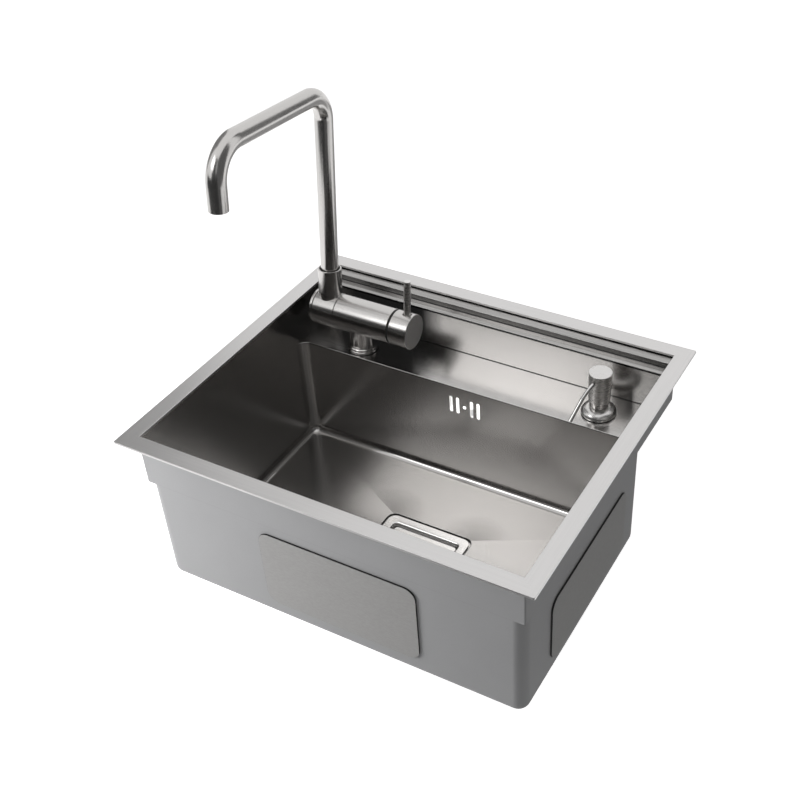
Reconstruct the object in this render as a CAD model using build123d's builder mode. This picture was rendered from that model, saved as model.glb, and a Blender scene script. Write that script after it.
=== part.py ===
from build123d import *
from math import cos, radians, sin
import os

# Kitchen sink with a fold-down tap and a soap pump, dropped into a cut-out of a worktop.
# Frame: +X to the right along the front edge, +Y to the back, +Z up, in millimetres.
# The origin is the centre of the cut-out in the worktop's top plane, which is where the
# underside of the rim rests.

# Rim, recess and ledges
sink_width = 500.0
sink_depth = 430.0
rim_width = 20.0
rim_thickness = 3.0
rim_corner = 2.0
recess_drop = 62.0
deck_width = 67.0
deck_sheet = 1.5
ledge_width = 13.0
upper_ledge_drop = 4.0
lower_ledge_drop = 11.0
band_skin = 1.4

# Bowl
bowl_depth = 205.5
bowl_sheet = 1.2
bowl_corner = 12.8
floor_radius = 10.0
floor_fall = 2.0

# Overflow slots and the housing behind them
overflow_x = 4.0
overflow_drop = 89.75
slot_length = 24.5
slot_width = 4.4
slot_offsets = (-18.6, -9.6, 9.6, 18.6)
peg_hole_radius = 2.25
peg_clearance = 0.1
housing_width = 58.0
housing_height = 42.0
housing_depth = 22.0
housing_wall = 2.0
housing_corner = 6.0
gasket_lip = 4.0
gasket_thickness = 1.5
hose_tail_radius = 10.0
hose_tail_bore = 8.0
hose_tail_length = 28.0

# Drain in the bowl floor
drain_x = 5.5
drain_y = -49.0
drain_recess_side = 116.0
drain_recess_corner = 11.0
drain_recess_depth = 3.0
frame_gap = 2.6
frame_sheet = 1.5
well_side = 88.0
well_corner = 4.0
well_depth = 12.0
well_sheet = 1.2
well_clearance = 1.0
upper_seal_thickness = 1.0
lower_seal_thickness = 2.0
cup_radius = 36.0
cup_depth = 47.0
cover_gap = 2.5
cover_inset = 5.0
cover_sheet = 1.5
cover_foot_radius = 3.0
basket_gap = 1.0
basket_depth = 25.0
basket_sheet = 0.8
stopper_thickness = 3.0
stopper_radius = 28.0
drain_body_wall = 3.0
drain_body_flange = 5.0
drain_body_gap = 1.8
outlet_radius = 23.9
outlet_bore = 20.0
outlet_length = 38.0
drain_screw_radius = 4.0
drain_screw_head = 7.0
drain_screw_head_height = 3.0
drain_screw_clearance = 0.2
drain_screw_reach = 11.0
driver_slot_width = 1.6
driver_slot_depth = 1.4
cup_hole_count = 8
seal_inset = 1.0
screw_boss_wall = 4.0
screw_boss_height = 14.0
screw_boss_bore = 12.0
cross_bar_width = 3.0
cross_bar_height = 8.0
cross_bar_overlap = 1.0
tail_shoulder = 1.0
basket_rim = 3.0
strainer_rings = ((15.0, 8), (22.0, 12), (29.0, 16))
strainer_hole_radius = 2.2
basket_knob_radius = 5.0
basket_knob_drop = 2.0
basket_foot_radius = 11.5
stopper_play = 0.3
screw_head_clearance = 1.5

# Sound pads stuck on the outside of the bowl
pad_thickness = 1.5
pad_corner = 14.0
front_pad_width = 195.0
front_pad_height = 105.5
front_pad_x = 11.5
front_pad_drop = 76.5
side_pad_width = 195.0
side_pad_height = 90.0
side_pad_y = -38.0
side_pad_drop = 94.0
back_pad_width = 150.0
back_pad_height = 80.0
back_pad_drop = 118.0
floor_pad_width = 105.0
floor_pad_length = 190.0
floor_pad_thickness = 2.0

# Tap: a barrel lying along X on a short column, spout hub at its left, handle at its right
tap_x = -151.6
tap_y = 123.6
tap_axis_height = 46.5
barrel_radius = 22.25
hub_left = -214.0
hub_right = -179.4
seam_gap = 0.4
body_right = -102.0
black_ring_width = 1.6
black_ring_inset = 0.35
cap_gap = 0.2
cap_right = -75.0
column_radius = 15.5
base_ring_radius = 19.0
base_ring_height = 8.0
base_seal_thickness = 1.0
base_seal_inset = 0.6
ring_groove_rise = 0.8
ring_groove_depth = 1.2
ring_upper_inset = 0.6
ring_chamfer_height = 1.0
shank_clearance = 0.3
port_radius = 3.0
port_overrun = 1.0
tap_hole_radius = 16.5
shank_radius = 14.0
shank_bore = 11.5
shank_length = 46.0
shank_grip = 6.0
inlet_radius = 4.25
inlet_pitch = 12.0
inlet_depth = 26.0
nut_height = 9.0
nut_across_flats = 34.0
washer_rubber = 2.5
washer_steel = 2.0

# Cartridge and handle
cartridge_radius = 17.5
cartridge_length = 32.0
cartridge_nut_radius = 19.9
cartridge_nut_length = 7.0
cartridge_neck_radius = 12.5
black_ring_bore = 14.5
spindle_radius = 5.0
spindle_length = 13.0
spindle_seat = 6.0
spindle_end_play = 0.3
cap_wall = 2.75
lever_x = -84.5
lever_radius = 4.3
lever_height = 66.0
lever_lean = 6.5
lever_hole_clearance = 0.2
lever_seat = 1.2
lever_chamfer = 0.6
countersink_radius = 6.6
countersink_depth = 2.2
countersink_overrun = 0.3
cap_boss_wall = 4.5
cap_boss_recess = 1.0
grub_screw_radius = 2.5
grub_screw_length = 5.0
turned_edge = 0.5

# Spout
spout_x = -195.0
spout_lean = 6.5
spout_turn = 3.3
spigot_radius = 14.0
spigot_bore = 8.0
spigot_shoulder = 2.0
spigot_thread_length = 9.0
spigot_head_gap = 2.2
spigot_port_radius = 7.0
groove_depth = 1.4
groove_width = 2.2
retainer_thickness = 1.5
retainer_radius = 15.9
retainer_clearance = 0.4
retainer_play = 0.1
retainer_head = 6.0
retainer_head_height = 2.0
retainer_screw_radius = 3.0
retainer_screw_length = 6.0
retainer_hole_radius = 3.1
o_ring_setback_right = 4.2
o_ring_setback_left = 9.5
o_ring_play = 0.1
o_ring_squeeze = 0.02
press_fit_gap = 0.03
hub_port_radius = 7.5
hub_cap_skin = 1.0
hub_cap_chamfer = 0.6
pipe_seat_gap = 0.3
o_ring_height = 2.6
running_clearance = 0.05
hub_cap_width = 3.0
socket_radius = 14.5
socket_bore = 12.6
socket_seat = 16.5
socket_top = 56.0
bush_top = 46.0
pipe_radius = 11.0
pipe_bore = 9.8
pipe_foot = 20.8
spout_height = 275.0
spout_reach = 211.0
spout_drop = 65.0
back_bend = 32.0
front_bend = 38.0
aerator_length = 7.0
aerator_setback = 0.8
aerator_lip = 1.5
aerator_recess = 1.0
aerator_hole_pitch = 1.5
aerator_hole_rows = 5
aerator_hole_radius = 0.9

# Soap pump
pump_x = 165.3
pump_y = 133.6
pump_hole_radius = 13.5
dome_radius = 20.8
dome_height = 8.0
dome_rim = 2.0
dome_gasket = 1.0
dome_gasket_inset = 0.8
dome_land = 0.4
neck_clearance = 0.3
pump_washer_inset = 1.5
neck_radius = 12.5
neck_bore = 10.5
neck_length = 50.0
guide_radius = 11.4
guide_height = 11.0
collar_spigot = 6.0
head_top = 58.0
head_height = 38.5
head_radius_top = 13.6
head_radius_bottom = 12.8
head_hollow = 13.0
head_play = 0.35
nozzle_radius = 2.3
nozzle_bore = 1.3
nozzle_turn = 15.0
nozzle_root_out = 6.0
nozzle_start = 49.5
nozzle_knee_out = 27.0
nozzle_knee_height = 42.5
nozzle_reach = 53.0
nozzle_tip_height = 18.2
nozzle_bend = 40.0
cylinder_radius = 7.5
cylinder_bore = 6.0
cylinder_length = 60.0
cylinder_flange = 1.5
cylinder_floor = 1.0
tube_socket = 6.0
stem_radius = 2.6
stem_bore = 1.2
stem_depth = 16.0
stem_passage = 6.0
piston_radius = 5.95
piston_drop = 2.0
piston_height = 5.0
spring_radius = 4.4
spring_wire = 0.45
spring_turns = 7
dip_tube_radius = 2.6
dip_tube_wall = 0.9
dip_tube_foot_gap = 6.0
bottle_radius = 27.0
bottle_wall = 1.5
bottle_neck_radius = 15.2
bottle_height = 118.0
bottle_neck_drop = 22.0
bottle_neck_length = 22.0
bottle_shoulder = 12.0
bottle_edge_radius = 5.0
bottle_throat = 1.0

# Heights and edges that follow from the sizes above
rim_top = rim_thickness
deck_z = rim_top - recess_drop
inner_x = sink_width / 2 - rim_width
inner_y = sink_depth / 2 - rim_width
band_wall = bowl_sheet + band_skin
band_width = 2 * (inner_x + band_wall)
band_length = 2 * (inner_y + band_wall)
band_bottom = deck_z - deck_sheet
upper_ledge_z = rim_top - upper_ledge_drop
lower_ledge_z = rim_top - lower_ledge_drop
recess_back = inner_y - 2 * ledge_width
bowl_front = -inner_y
bowl_back = recess_back - deck_width
bowl_length = bowl_back - bowl_front
bowl_mid = (bowl_front + bowl_back) / 2
bowl_width = 2 * inner_x
floor_z = rim_top - bowl_depth
drain_floor_z = floor_z - floor_fall - drain_recess_depth
frame_top = drain_floor_z + upper_seal_thickness + frame_sheet
frame_side = drain_recess_side - 2 * frame_gap
well_z = frame_top - well_depth
cup_z = frame_top - cup_depth
drain_hole_side = well_side + 2 * (well_sheet + well_clearance)
bowl_under = drain_floor_z - bowl_sheet
overflow_z = rim_top - overflow_drop
axis_z = deck_z + tap_axis_height
body_left = hub_right + seam_gap
cap_left = body_right + black_ring_width + cap_gap
column_foot = deck_z + base_ring_height
pump_head_z = deck_z + head_top

LOW = (Align.CENTER, Align.CENTER, Align.MIN)
HIGH = (Align.CENTER, Align.CENTER, Align.MAX)
ALONG_X = (0, 90, 0)

os.makedirs("parts", exist_ok=True)


def save(piece, name):
    """Label a finished piece and write it to the parts folder."""
    piece.part.label = name
    export_step(piece.part, f"parts/{name}.step")


# Rim plate: the flat steel frame that covers the edge of the worktop's cut-out
with BuildPart() as rim_plate:
    with BuildSketch(Plane.XY):
        RectangleRounded(sink_width, sink_depth, rim_corner)
        RectangleRounded(band_width, band_length, rim_corner, mode=Mode.SUBTRACT)
    extrude(amount=rim_thickness)
save(rim_plate, "rim_plate")

# Side band: the low wall that is welded into the rim plate and hangs below it, with small
# gussets in its front corners where the bowl's corners are rounder than its own
with BuildPart() as side_band:
    with BuildSketch(Plane.XY.offset(rim_top)):
        RectangleRounded(band_width, band_length, rim_corner)
        Rectangle(2 * inner_x, 2 * inner_y, mode=Mode.SUBTRACT)
    extrude(amount=band_bottom - rim_top)
    with BuildSketch(Plane.XY.offset(deck_z)):
        with Locations((0, bowl_front + bowl_corner / 2)):
            Rectangle(2 * inner_x, bowl_corner)
        with Locations((0, bowl_mid)):
            RectangleRounded(bowl_width, bowl_length, bowl_corner, mode=Mode.SUBTRACT)
    extrude(amount=-deck_sheet)
save(side_band, "side_band")

# Recess: a folded sheet welded into the band. Its floor carries the tap and the pump, and
# above its back wall are the two ledges on which a cover slides.
back_steps = [
    (recess_back, band_bottom),
    (recess_back, lower_ledge_z),
    (recess_back + ledge_width, lower_ledge_z),
    (recess_back + ledge_width, upper_ledge_z),
    (inner_y, upper_ledge_z),
    (inner_y, upper_ledge_z - deck_sheet),
    (recess_back + ledge_width + deck_sheet, upper_ledge_z - deck_sheet),
    (recess_back + ledge_width + deck_sheet, lower_ledge_z - deck_sheet),
    (recess_back + deck_sheet, lower_ledge_z - deck_sheet),
    (recess_back + deck_sheet, band_bottom),
]
recess_floor = deck_width + bowl_corner
with BuildPart() as recess:
    with BuildSketch(Plane.XY.offset(deck_z)):
        with Locations((0, recess_back - recess_floor / 2)):
            Rectangle(2 * inner_x, recess_floor)
        with Locations((0, bowl_mid)):
            RectangleRounded(bowl_width, bowl_length, bowl_corner, mode=Mode.SUBTRACT)
        with Locations((tap_x, tap_y)):
            Circle(tap_hole_radius, mode=Mode.SUBTRACT)
        with Locations((pump_x, pump_y)):
            Circle(pump_hole_radius, mode=Mode.SUBTRACT)
    extrude(amount=-deck_sheet)
    with BuildSketch(Plane.YZ.offset(-inner_x)):
        with BuildLine():
            Polyline(*back_steps, close=True)
        make_face()
    extrude(amount=2 * inner_x)
save(recess, "recess")


# Bowl: a folded and welded box under the band. Its floor falls from all four sides to a
# square pressed recess for the drain.
def basin_form(grow):
    """Solid form of the bowl's hollow, grown outwards by grow."""
    with BuildPart() as form:
        with BuildSketch(Plane.XY.offset(band_bottom)):
            with Locations((0, bowl_mid)):
                RectangleRounded(bowl_width + 2 * grow, bowl_length + 2 * grow, bowl_corner + grow)
        extrude(amount=floor_z - grow - band_bottom)
        fillet(form.faces().sort_by(Axis.Z)[0].edges(), radius=floor_radius + grow)
        with BuildSketch(Plane.XY.offset(floor_z - grow)):
            with Locations((0, bowl_mid)):
                RectangleRounded(
                    bowl_width - 2 * floor_radius,
                    bowl_length - 2 * floor_radius,
                    bowl_corner - floor_radius,
                )
        with BuildSketch(Plane.XY.offset(floor_z - grow - floor_fall)):
            with Locations((drain_x, drain_y)):
                RectangleRounded(
                    drain_recess_side + 2 * grow,
                    drain_recess_side + 2 * grow,
                    drain_recess_corner + grow,
                )
        loft(ruled=True)
        with BuildSketch(Plane.XY.offset(floor_z - grow - floor_fall)):
            with Locations((drain_x, drain_y)):
                RectangleRounded(
                    drain_recess_side + 2 * grow,
                    drain_recess_side + 2 * grow,
                    drain_recess_corner + grow,
                )
        extrude(amount=-drain_recess_depth)
    return form.part


bowl_hollow = basin_form(0)
bowl_outside = basin_form(bowl_sheet)
with BuildPart() as bowl:
    add(bowl_outside)
    add(bowl_hollow, mode=Mode.SUBTRACT)
    with BuildSketch(Plane.XY.offset(drain_floor_z + bowl_sheet)):
        with Locations((drain_x, drain_y)):
            RectangleRounded(drain_hole_side, drain_hole_side, well_corner + well_clearance)
    extrude(amount=-3 * bowl_sheet, mode=Mode.SUBTRACT)
    with BuildSketch(Plane.XZ.offset(-bowl_back + bowl_sheet)):
        for offset_x in slot_offsets:
            with Locations((overflow_x + offset_x, overflow_z)):
                SlotOverall(slot_length, slot_width, rotation=90)
        with Locations((overflow_x, overflow_z)):
            Circle(peg_hole_radius)
    extrude(amount=-3 * bowl_sheet, mode=Mode.SUBTRACT)
save(bowl, "bowl")


# Sound pads: rubber sheets with rounded corners on the four walls and under the floor.
with BuildPart() as front_sound_pad:
    with BuildSketch(Plane.XZ.offset(-bowl_front + bowl_sheet)):
        with Locations((front_pad_x, rim_top - front_pad_drop - front_pad_height / 2)):
            RectangleRounded(front_pad_width, front_pad_height, pad_corner)
    extrude(amount=pad_thickness)
save(front_sound_pad, "front_sound_pad")

for side, name in ((1, "right_sound_pad"), (-1, "left_sound_pad")):
    with BuildPart() as side_sound_pad:
        with BuildSketch(Plane.YZ.offset(side * (inner_x + bowl_sheet))):
            with Locations((side_pad_y, rim_top - side_pad_drop - side_pad_height / 2)):
                RectangleRounded(side_pad_width, side_pad_height, pad_corner)
        extrude(amount=side * pad_thickness)
    save(side_sound_pad, name)

with BuildPart() as back_sound_pad:
    with BuildSketch(Plane.XZ.offset(-bowl_back - bowl_sheet)):
        with Locations((overflow_x, rim_top - back_pad_drop - back_pad_height / 2)):
            RectangleRounded(back_pad_width, back_pad_height, pad_corner)
        with Locations((overflow_x, rim_top - back_pad_drop)):
            Rectangle(housing_width / 2, 2 * hose_tail_length, mode=Mode.SUBTRACT)
    extrude(amount=-pad_thickness)
save(back_sound_pad, "back_sound_pad")

floor_pad_offset = (drain_recess_side + floor_pad_width) / 2 + bowl_corner
with BuildPart() as floor_sound_pads:
    with BuildSketch(Plane.XY.offset(floor_z - bowl_sheet)):
        with Locations((drain_x - floor_pad_offset, bowl_mid), (drain_x + floor_pad_offset, bowl_mid)):
            RectangleRounded(floor_pad_width, floor_pad_length, pad_corner)
    extrude(amount=-floor_fall - floor_pad_thickness)
    add(bowl_outside, mode=Mode.SUBTRACT)
save(floor_sound_pads, "floor_sound_pads")


# Overflow: a rubber gasket and a plastic housing behind the slots. A peg of the housing
# snaps into the round hole between the slots.
wall_back = bowl_back + bowl_sheet
with BuildPart() as overflow_gasket:
    with BuildSketch(Plane.XZ.offset(-wall_back)):
        with Locations((overflow_x, overflow_z)):
            RectangleRounded(housing_width, housing_height, housing_corner)
            RectangleRounded(
                housing_width - 2 * gasket_lip,
                housing_height - 2 * gasket_lip,
                housing_corner - gasket_lip,
                mode=Mode.SUBTRACT,
            )
    extrude(amount=-gasket_thickness)
save(overflow_gasket, "overflow_gasket")

housing_front = wall_back + gasket_thickness
housing_bottom = overflow_z - housing_height / 2
with BuildPart() as overflow_housing:
    with BuildSketch(Plane.XZ.offset(-housing_front)):
        with Locations((overflow_x, overflow_z)):
            RectangleRounded(housing_width, housing_height, housing_corner)
    extrude(amount=-housing_depth)
    with BuildSketch(Plane.XZ.offset(-housing_front)):
        with Locations((overflow_x, overflow_z)):
            RectangleRounded(
                housing_width - 2 * gasket_lip,
                housing_height - 2 * gasket_lip,
                housing_corner - gasket_lip,
            )
    extrude(amount=-housing_depth + housing_wall, mode=Mode.SUBTRACT)
    with Locations((overflow_x, housing_front + housing_depth / 2, housing_bottom + gasket_lip)):
        Cylinder(hose_tail_radius, hose_tail_length + gasket_lip, align=HIGH)
        Cylinder(hose_tail_bore, hose_tail_length + 2 * gasket_lip, align=HIGH, mode=Mode.SUBTRACT)
    with BuildSketch(Plane.XZ.offset(-bowl_back)):
        with Locations((overflow_x, overflow_z)):
            Circle(peg_hole_radius - peg_clearance)
    extrude(amount=-(housing_front - bowl_back) - housing_depth + housing_wall / 2)
save(overflow_housing, "overflow_housing")


# Drain frame: the square steel plate seen in the bowl floor, with a square well and a
# round cup below it. Slots in the cup's floor let the water out.
with BuildPart() as drain_frame:
    with BuildSketch(Plane.XY.offset(frame_top)):
        with Locations((drain_x, drain_y)):
            RectangleRounded(frame_side, frame_side, drain_recess_corner - frame_gap / 2)
    extrude(amount=-frame_sheet)
    with BuildSketch(Plane.XY.offset(frame_top - frame_sheet)):
        with Locations((drain_x, drain_y)):
            RectangleRounded(
                well_side + 2 * well_sheet, well_side + 2 * well_sheet, well_corner + well_sheet
            )
    extrude(amount=well_z - well_sheet - frame_top + frame_sheet)
    with BuildSketch(Plane.XY.offset(frame_top)):
        with Locations((drain_x, drain_y)):
            RectangleRounded(well_side, well_side, well_corner)
    extrude(amount=-well_depth, mode=Mode.SUBTRACT)
    with Locations((drain_x, drain_y, well_z)):
        Cylinder(cup_radius + well_sheet, well_z - cup_z + well_sheet, align=HIGH)
        Cylinder(cup_radius, well_z - cup_z, align=HIGH, mode=Mode.SUBTRACT)
    with Locations((drain_x, drain_y, cup_z)):
        Cylinder(
            drain_screw_radius + drain_screw_clearance,
            2 * well_sheet,
            align=HIGH,
            mode=Mode.SUBTRACT,
        )
        with PolarLocations((drain_screw_head + stopper_radius) / 2, cup_hole_count):
            Cylinder(drain_screw_radius, 2 * well_sheet, align=HIGH, mode=Mode.SUBTRACT)
save(drain_frame, "drain_frame")

# Rubber seals above and below the bowl floor
with BuildPart() as drain_upper_seal:
    with BuildSketch(Plane.XY.offset(drain_floor_z)):
        with Locations((drain_x, drain_y)):
            RectangleRounded(
                frame_side - 2 * seal_inset,
                frame_side - 2 * seal_inset,
                drain_recess_corner - frame_gap,
            )
            RectangleRounded(
                drain_hole_side, drain_hole_side, well_corner + well_clearance, mode=Mode.SUBTRACT
            )
    extrude(amount=upper_seal_thickness)
save(drain_upper_seal, "drain_upper_seal")

with BuildPart() as drain_lower_seal:
    with BuildSketch(Plane.XY.offset(bowl_under)):
        with Locations((drain_x, drain_y)):
            RectangleRounded(frame_side, frame_side, drain_recess_corner)
            RectangleRounded(
                drain_hole_side, drain_hole_side, well_corner + well_clearance, mode=Mode.SUBTRACT
            )
    extrude(amount=-lower_seal_thickness)
save(drain_lower_seal, "drain_lower_seal")

# Drain body: a plastic pot that the centre screw pulls up against the bowl floor, with the
# threaded outlet below and the overflow's hose tail at the back.
body_top = bowl_under - lower_seal_thickness
body_hollow_side = well_side + 2 * (well_sheet + drain_body_gap)
shelf_z = well_z - well_sheet - drain_body_gap
pot_radius = cup_radius + well_sheet + drain_body_gap
pot_floor = cup_z - well_sheet - drain_body_gap
screw_boss_radius = drain_screw_radius + screw_boss_wall
tail_face = drain_y + body_hollow_side / 2 + drain_body_wall + tail_shoulder
tail_height = (shelf_z + pot_floor) / 2
with BuildPart() as drain_body:
    with BuildSketch(Plane.XY.offset(body_top)):
        with Locations((drain_x, drain_y)):
            RectangleRounded(frame_side, frame_side, drain_recess_corner)
    extrude(amount=-drain_body_flange)
    with BuildSketch(Plane.XY.offset(body_top)):
        with Locations((drain_x, drain_y)):
            RectangleRounded(
                body_hollow_side + 2 * drain_body_wall,
                body_hollow_side + 2 * drain_body_wall,
                well_corner + drain_body_wall,
            )
    extrude(amount=shelf_z - drain_body_wall - body_top)
    with Locations((drain_x, drain_y, shelf_z)):
        Cylinder(pot_radius + drain_body_wall, shelf_z - pot_floor + drain_body_wall, align=HIGH)
    with BuildSketch(Plane.XY.offset(body_top)):
        with Locations((drain_x, drain_y)):
            RectangleRounded(body_hollow_side, body_hollow_side, well_corner + well_sheet)
    extrude(amount=shelf_z - body_top, mode=Mode.SUBTRACT)
    with Locations((drain_x, drain_y, shelf_z)):
        Cylinder(pot_radius, shelf_z - pot_floor, align=HIGH, mode=Mode.SUBTRACT)
    with Locations((drain_x, drain_y, pot_floor)):
        Cylinder(outlet_radius, outlet_length, align=HIGH)
        Cylinder(outlet_bore, outlet_length, align=HIGH, mode=Mode.SUBTRACT)
    with Locations((drain_x, tail_face, tail_height)):
        Cylinder(
            hose_tail_radius + drain_body_wall,
            tail_face - drain_y,
            rotation=(90, 0, 0),
            align=LOW,
        )
        Cylinder(hose_tail_radius, hose_tail_length, rotation=(-90, 0, 0), align=LOW)
    with Locations((drain_x, drain_y, shelf_z)):
        Cylinder(pot_radius, shelf_z - pot_floor, align=HIGH, mode=Mode.SUBTRACT)
    with Locations((drain_x, tail_face + hose_tail_length, tail_height)):
        Cylinder(
            hose_tail_bore,
            tail_face + hose_tail_length - drain_y,
            rotation=(90, 0, 0),
            align=LOW,
            mode=Mode.SUBTRACT,
        )
    with Locations((drain_x, drain_y, pot_floor)):
        Box(
            2 * (outlet_bore + cross_bar_overlap), cross_bar_width, cross_bar_height, align=HIGH
        )
        Cylinder(screw_boss_radius, screw_boss_height, align=HIGH)
        Cylinder(drain_screw_radius, screw_boss_bore, align=HIGH, mode=Mode.SUBTRACT)
save(drain_body, "drain_body")

# Centre screw that clamps the frame and the body on the bowl floor
with BuildPart() as drain_screw:
    with Locations((drain_x, drain_y, cup_z)):
        Cylinder(drain_screw_head, drain_screw_head_height, align=LOW)
        Cylinder(drain_screw_radius, cup_z - pot_floor + drain_screw_reach, align=HIGH)
    with Locations((drain_x, drain_y, cup_z + drain_screw_head_height)):
        Box(
            2 * drain_screw_head,
            driver_slot_width,
            driver_slot_depth,
            align=HIGH,
            mode=Mode.SUBTRACT,
        )
save(drain_screw, "drain_screw")

# Basket strainer: hangs by its rim in the cup, and its foot presses the rubber stopper ring
# on the cup's floor.
basket_radius = cup_radius - basket_gap
basket_floor = well_z - basket_depth
stopper_top = cup_z + stopper_play + stopper_thickness
screw_pocket_radius = drain_screw_head + screw_head_clearance
with BuildPart() as strainer_basket:
    with Locations((drain_x, drain_y, well_z)):
        Cylinder(cup_radius + basket_rim, basket_sheet, align=LOW)
        Cylinder(basket_radius, basket_depth, align=HIGH)
    with Locations((drain_x, drain_y, well_z + basket_sheet)):
        Cylinder(
            basket_radius - basket_sheet, basket_depth, align=HIGH, mode=Mode.SUBTRACT
        )
    for ring_radius, count in strainer_rings:
        with Locations((drain_x, drain_y, basket_floor)):
            with PolarLocations(ring_radius, count):
                Cylinder(strainer_hole_radius, 4 * basket_sheet, mode=Mode.SUBTRACT)
    with Locations((drain_x, drain_y, basket_floor)):
        Cylinder(basket_knob_radius, well_z - basket_floor - basket_knob_drop, align=LOW)
        Cylinder(basket_foot_radius, basket_floor - stopper_top, align=HIGH)
        Cylinder(screw_pocket_radius, basket_floor - stopper_top, align=HIGH, mode=Mode.SUBTRACT)
save(strainer_basket, "strainer_basket")

with BuildPart() as stopper_ring:
    with Locations((drain_x, drain_y, cup_z + stopper_play)):
        Cylinder(stopper_radius, stopper_thickness, align=LOW)
        Cylinder(screw_pocket_radius, stopper_thickness, align=LOW, mode=Mode.SUBTRACT)
save(stopper_ring, "stopper_ring")

# Cover plate: a square plate on four feet, set a little below the frame's top
cover_side = well_side - 2 * cover_gap
cover_top = frame_top - cover_inset
foot_offset = cover_side - 4 * cover_foot_radius
with BuildPart() as drain_cover:
    with BuildSketch(Plane.XY.offset(cover_top)):
        with Locations((drain_x, drain_y)):
            RectangleRounded(cover_side, cover_side, well_corner)
    extrude(amount=-cover_sheet)
    with Locations((drain_x, drain_y, cover_top - cover_sheet)):
        with GridLocations(foot_offset, foot_offset, 2, 2):
            Cylinder(cover_foot_radius, cover_top - cover_sheet - well_z, align=HIGH)
save(drain_cover, "drain_cover")


# Tap base: a rubber seal and a ring turned with two steps, both round the threaded shank
ring_foot = deck_z + base_seal_thickness
shank_hole_radius = shank_radius + shank_clearance
with BuildPart() as tap_base_seal:
    with Locations((tap_x, tap_y, deck_z)):
        Cylinder(base_ring_radius - base_seal_inset, base_seal_thickness, align=LOW)
        Cylinder(shank_hole_radius, base_seal_thickness, align=LOW, mode=Mode.SUBTRACT)
save(tap_base_seal, "tap_base_seal")

ring_rise = base_ring_height - base_seal_thickness
ring_step = ring_rise / 2
upper_ring_radius = base_ring_radius - ring_upper_inset
with BuildPart() as tap_base_ring:
    with BuildSketch(Plane.XZ.offset(-tap_y)):
        with BuildLine():
            Polyline(
                (tap_x + shank_hole_radius, ring_foot),
                (tap_x + base_ring_radius, ring_foot),
                (tap_x + base_ring_radius, ring_foot + ring_step - ring_groove_rise),
                (tap_x + base_ring_radius - ring_groove_depth, ring_foot + ring_step),
                (tap_x + upper_ring_radius, ring_foot + ring_step + ring_upper_inset),
                (tap_x + upper_ring_radius, ring_foot + ring_rise - ring_chamfer_height),
                (tap_x + upper_ring_radius - ring_groove_depth, ring_foot + ring_rise),
                (tap_x + shank_hole_radius, ring_foot + ring_rise),
                close=True,
            )
        make_face()
    revolve(axis=Axis((tap_x, tap_y, 0), (0, 0, 1)))
save(tap_base_ring, "tap_base_ring")

# Tap body: barrel and column in one casting, with the cartridge's bore at the right, the
# spigot's threaded bore at the left and the two inlets in the column's foot.
with BuildPart() as tap_body:
    with Locations((body_left, tap_y, axis_z)):
        Cylinder(barrel_radius, body_right - body_left, rotation=ALONG_X, align=LOW)
    with Locations((tap_x, tap_y, column_foot)):
        Cylinder(column_radius, axis_z - column_foot, align=LOW)
        Cylinder(shank_radius, shank_grip, align=LOW, mode=Mode.SUBTRACT)
    with Locations((body_right, tap_y, axis_z)):
        Cylinder(
            cartridge_nut_radius,
            cartridge_nut_length,
            rotation=(0, -90, 0),
            align=LOW,
            mode=Mode.SUBTRACT,
        )
        Cylinder(
            cartridge_radius + running_clearance,
            cartridge_length,
            rotation=(0, -90, 0),
            align=LOW,
            mode=Mode.SUBTRACT,
        )
    with Locations((body_left, tap_y, axis_z)):
        Cylinder(
            spigot_radius - spigot_shoulder,
            spigot_thread_length,
            rotation=ALONG_X,
            align=LOW,
            mode=Mode.SUBTRACT,
        )
        Cylinder(
            spigot_bore - spigot_shoulder,
            body_right - cartridge_length - body_left,
            rotation=ALONG_X,
            align=LOW,
            mode=Mode.SUBTRACT,
        )
    with Locations((tap_x, tap_y, column_foot)):
        with GridLocations(1, inlet_pitch, 1, 2):
            Cylinder(inlet_radius, inlet_depth, align=LOW, mode=Mode.SUBTRACT)
    with Locations((tap_x, tap_y, column_foot + inlet_depth - inlet_radius)):
        with Locations((0, -inlet_pitch / 2, 0), (0, inlet_pitch / 2, 0)):
            Cylinder(
                port_radius,
                body_right - cartridge_length - tap_x + port_overrun,
                rotation=ALONG_X,
                align=LOW,
                mode=Mode.SUBTRACT,
            )
save(tap_body, "tap_body")

# Shank, washers and nut that clamp the tap on the recess floor
washer_top = deck_z - deck_sheet
with BuildPart() as tap_shank:
    with Locations((tap_x, tap_y, column_foot + shank_grip)):
        Cylinder(shank_radius, shank_length + shank_grip, align=HIGH)
        Cylinder(shank_bore, shank_length + shank_grip, align=HIGH, mode=Mode.SUBTRACT)
save(tap_shank, "tap_shank")

with BuildPart() as shank_rubber_washer:
    with Locations((tap_x, tap_y, washer_top)):
        Cylinder(base_ring_radius, washer_rubber, align=HIGH)
        Cylinder(shank_hole_radius, washer_rubber, align=HIGH, mode=Mode.SUBTRACT)
save(shank_rubber_washer, "shank_rubber_washer")

with BuildPart() as shank_steel_washer:
    with Locations((tap_x, tap_y, washer_top - washer_rubber)):
        Cylinder(base_ring_radius, washer_steel, align=HIGH)
        Cylinder(shank_hole_radius, washer_steel, align=HIGH, mode=Mode.SUBTRACT)
save(shank_steel_washer, "shank_steel_washer")

with BuildPart() as shank_nut:
    with BuildSketch(Plane.XY.offset(washer_top - washer_rubber - washer_steel)):
        with Locations((tap_x, tap_y)):
            RegularPolygon(nut_across_flats / 2, 6, major_radius=False)
            Circle(shank_radius, mode=Mode.SUBTRACT)
    extrude(amount=-nut_height)
save(shank_nut, "shank_nut")

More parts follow.
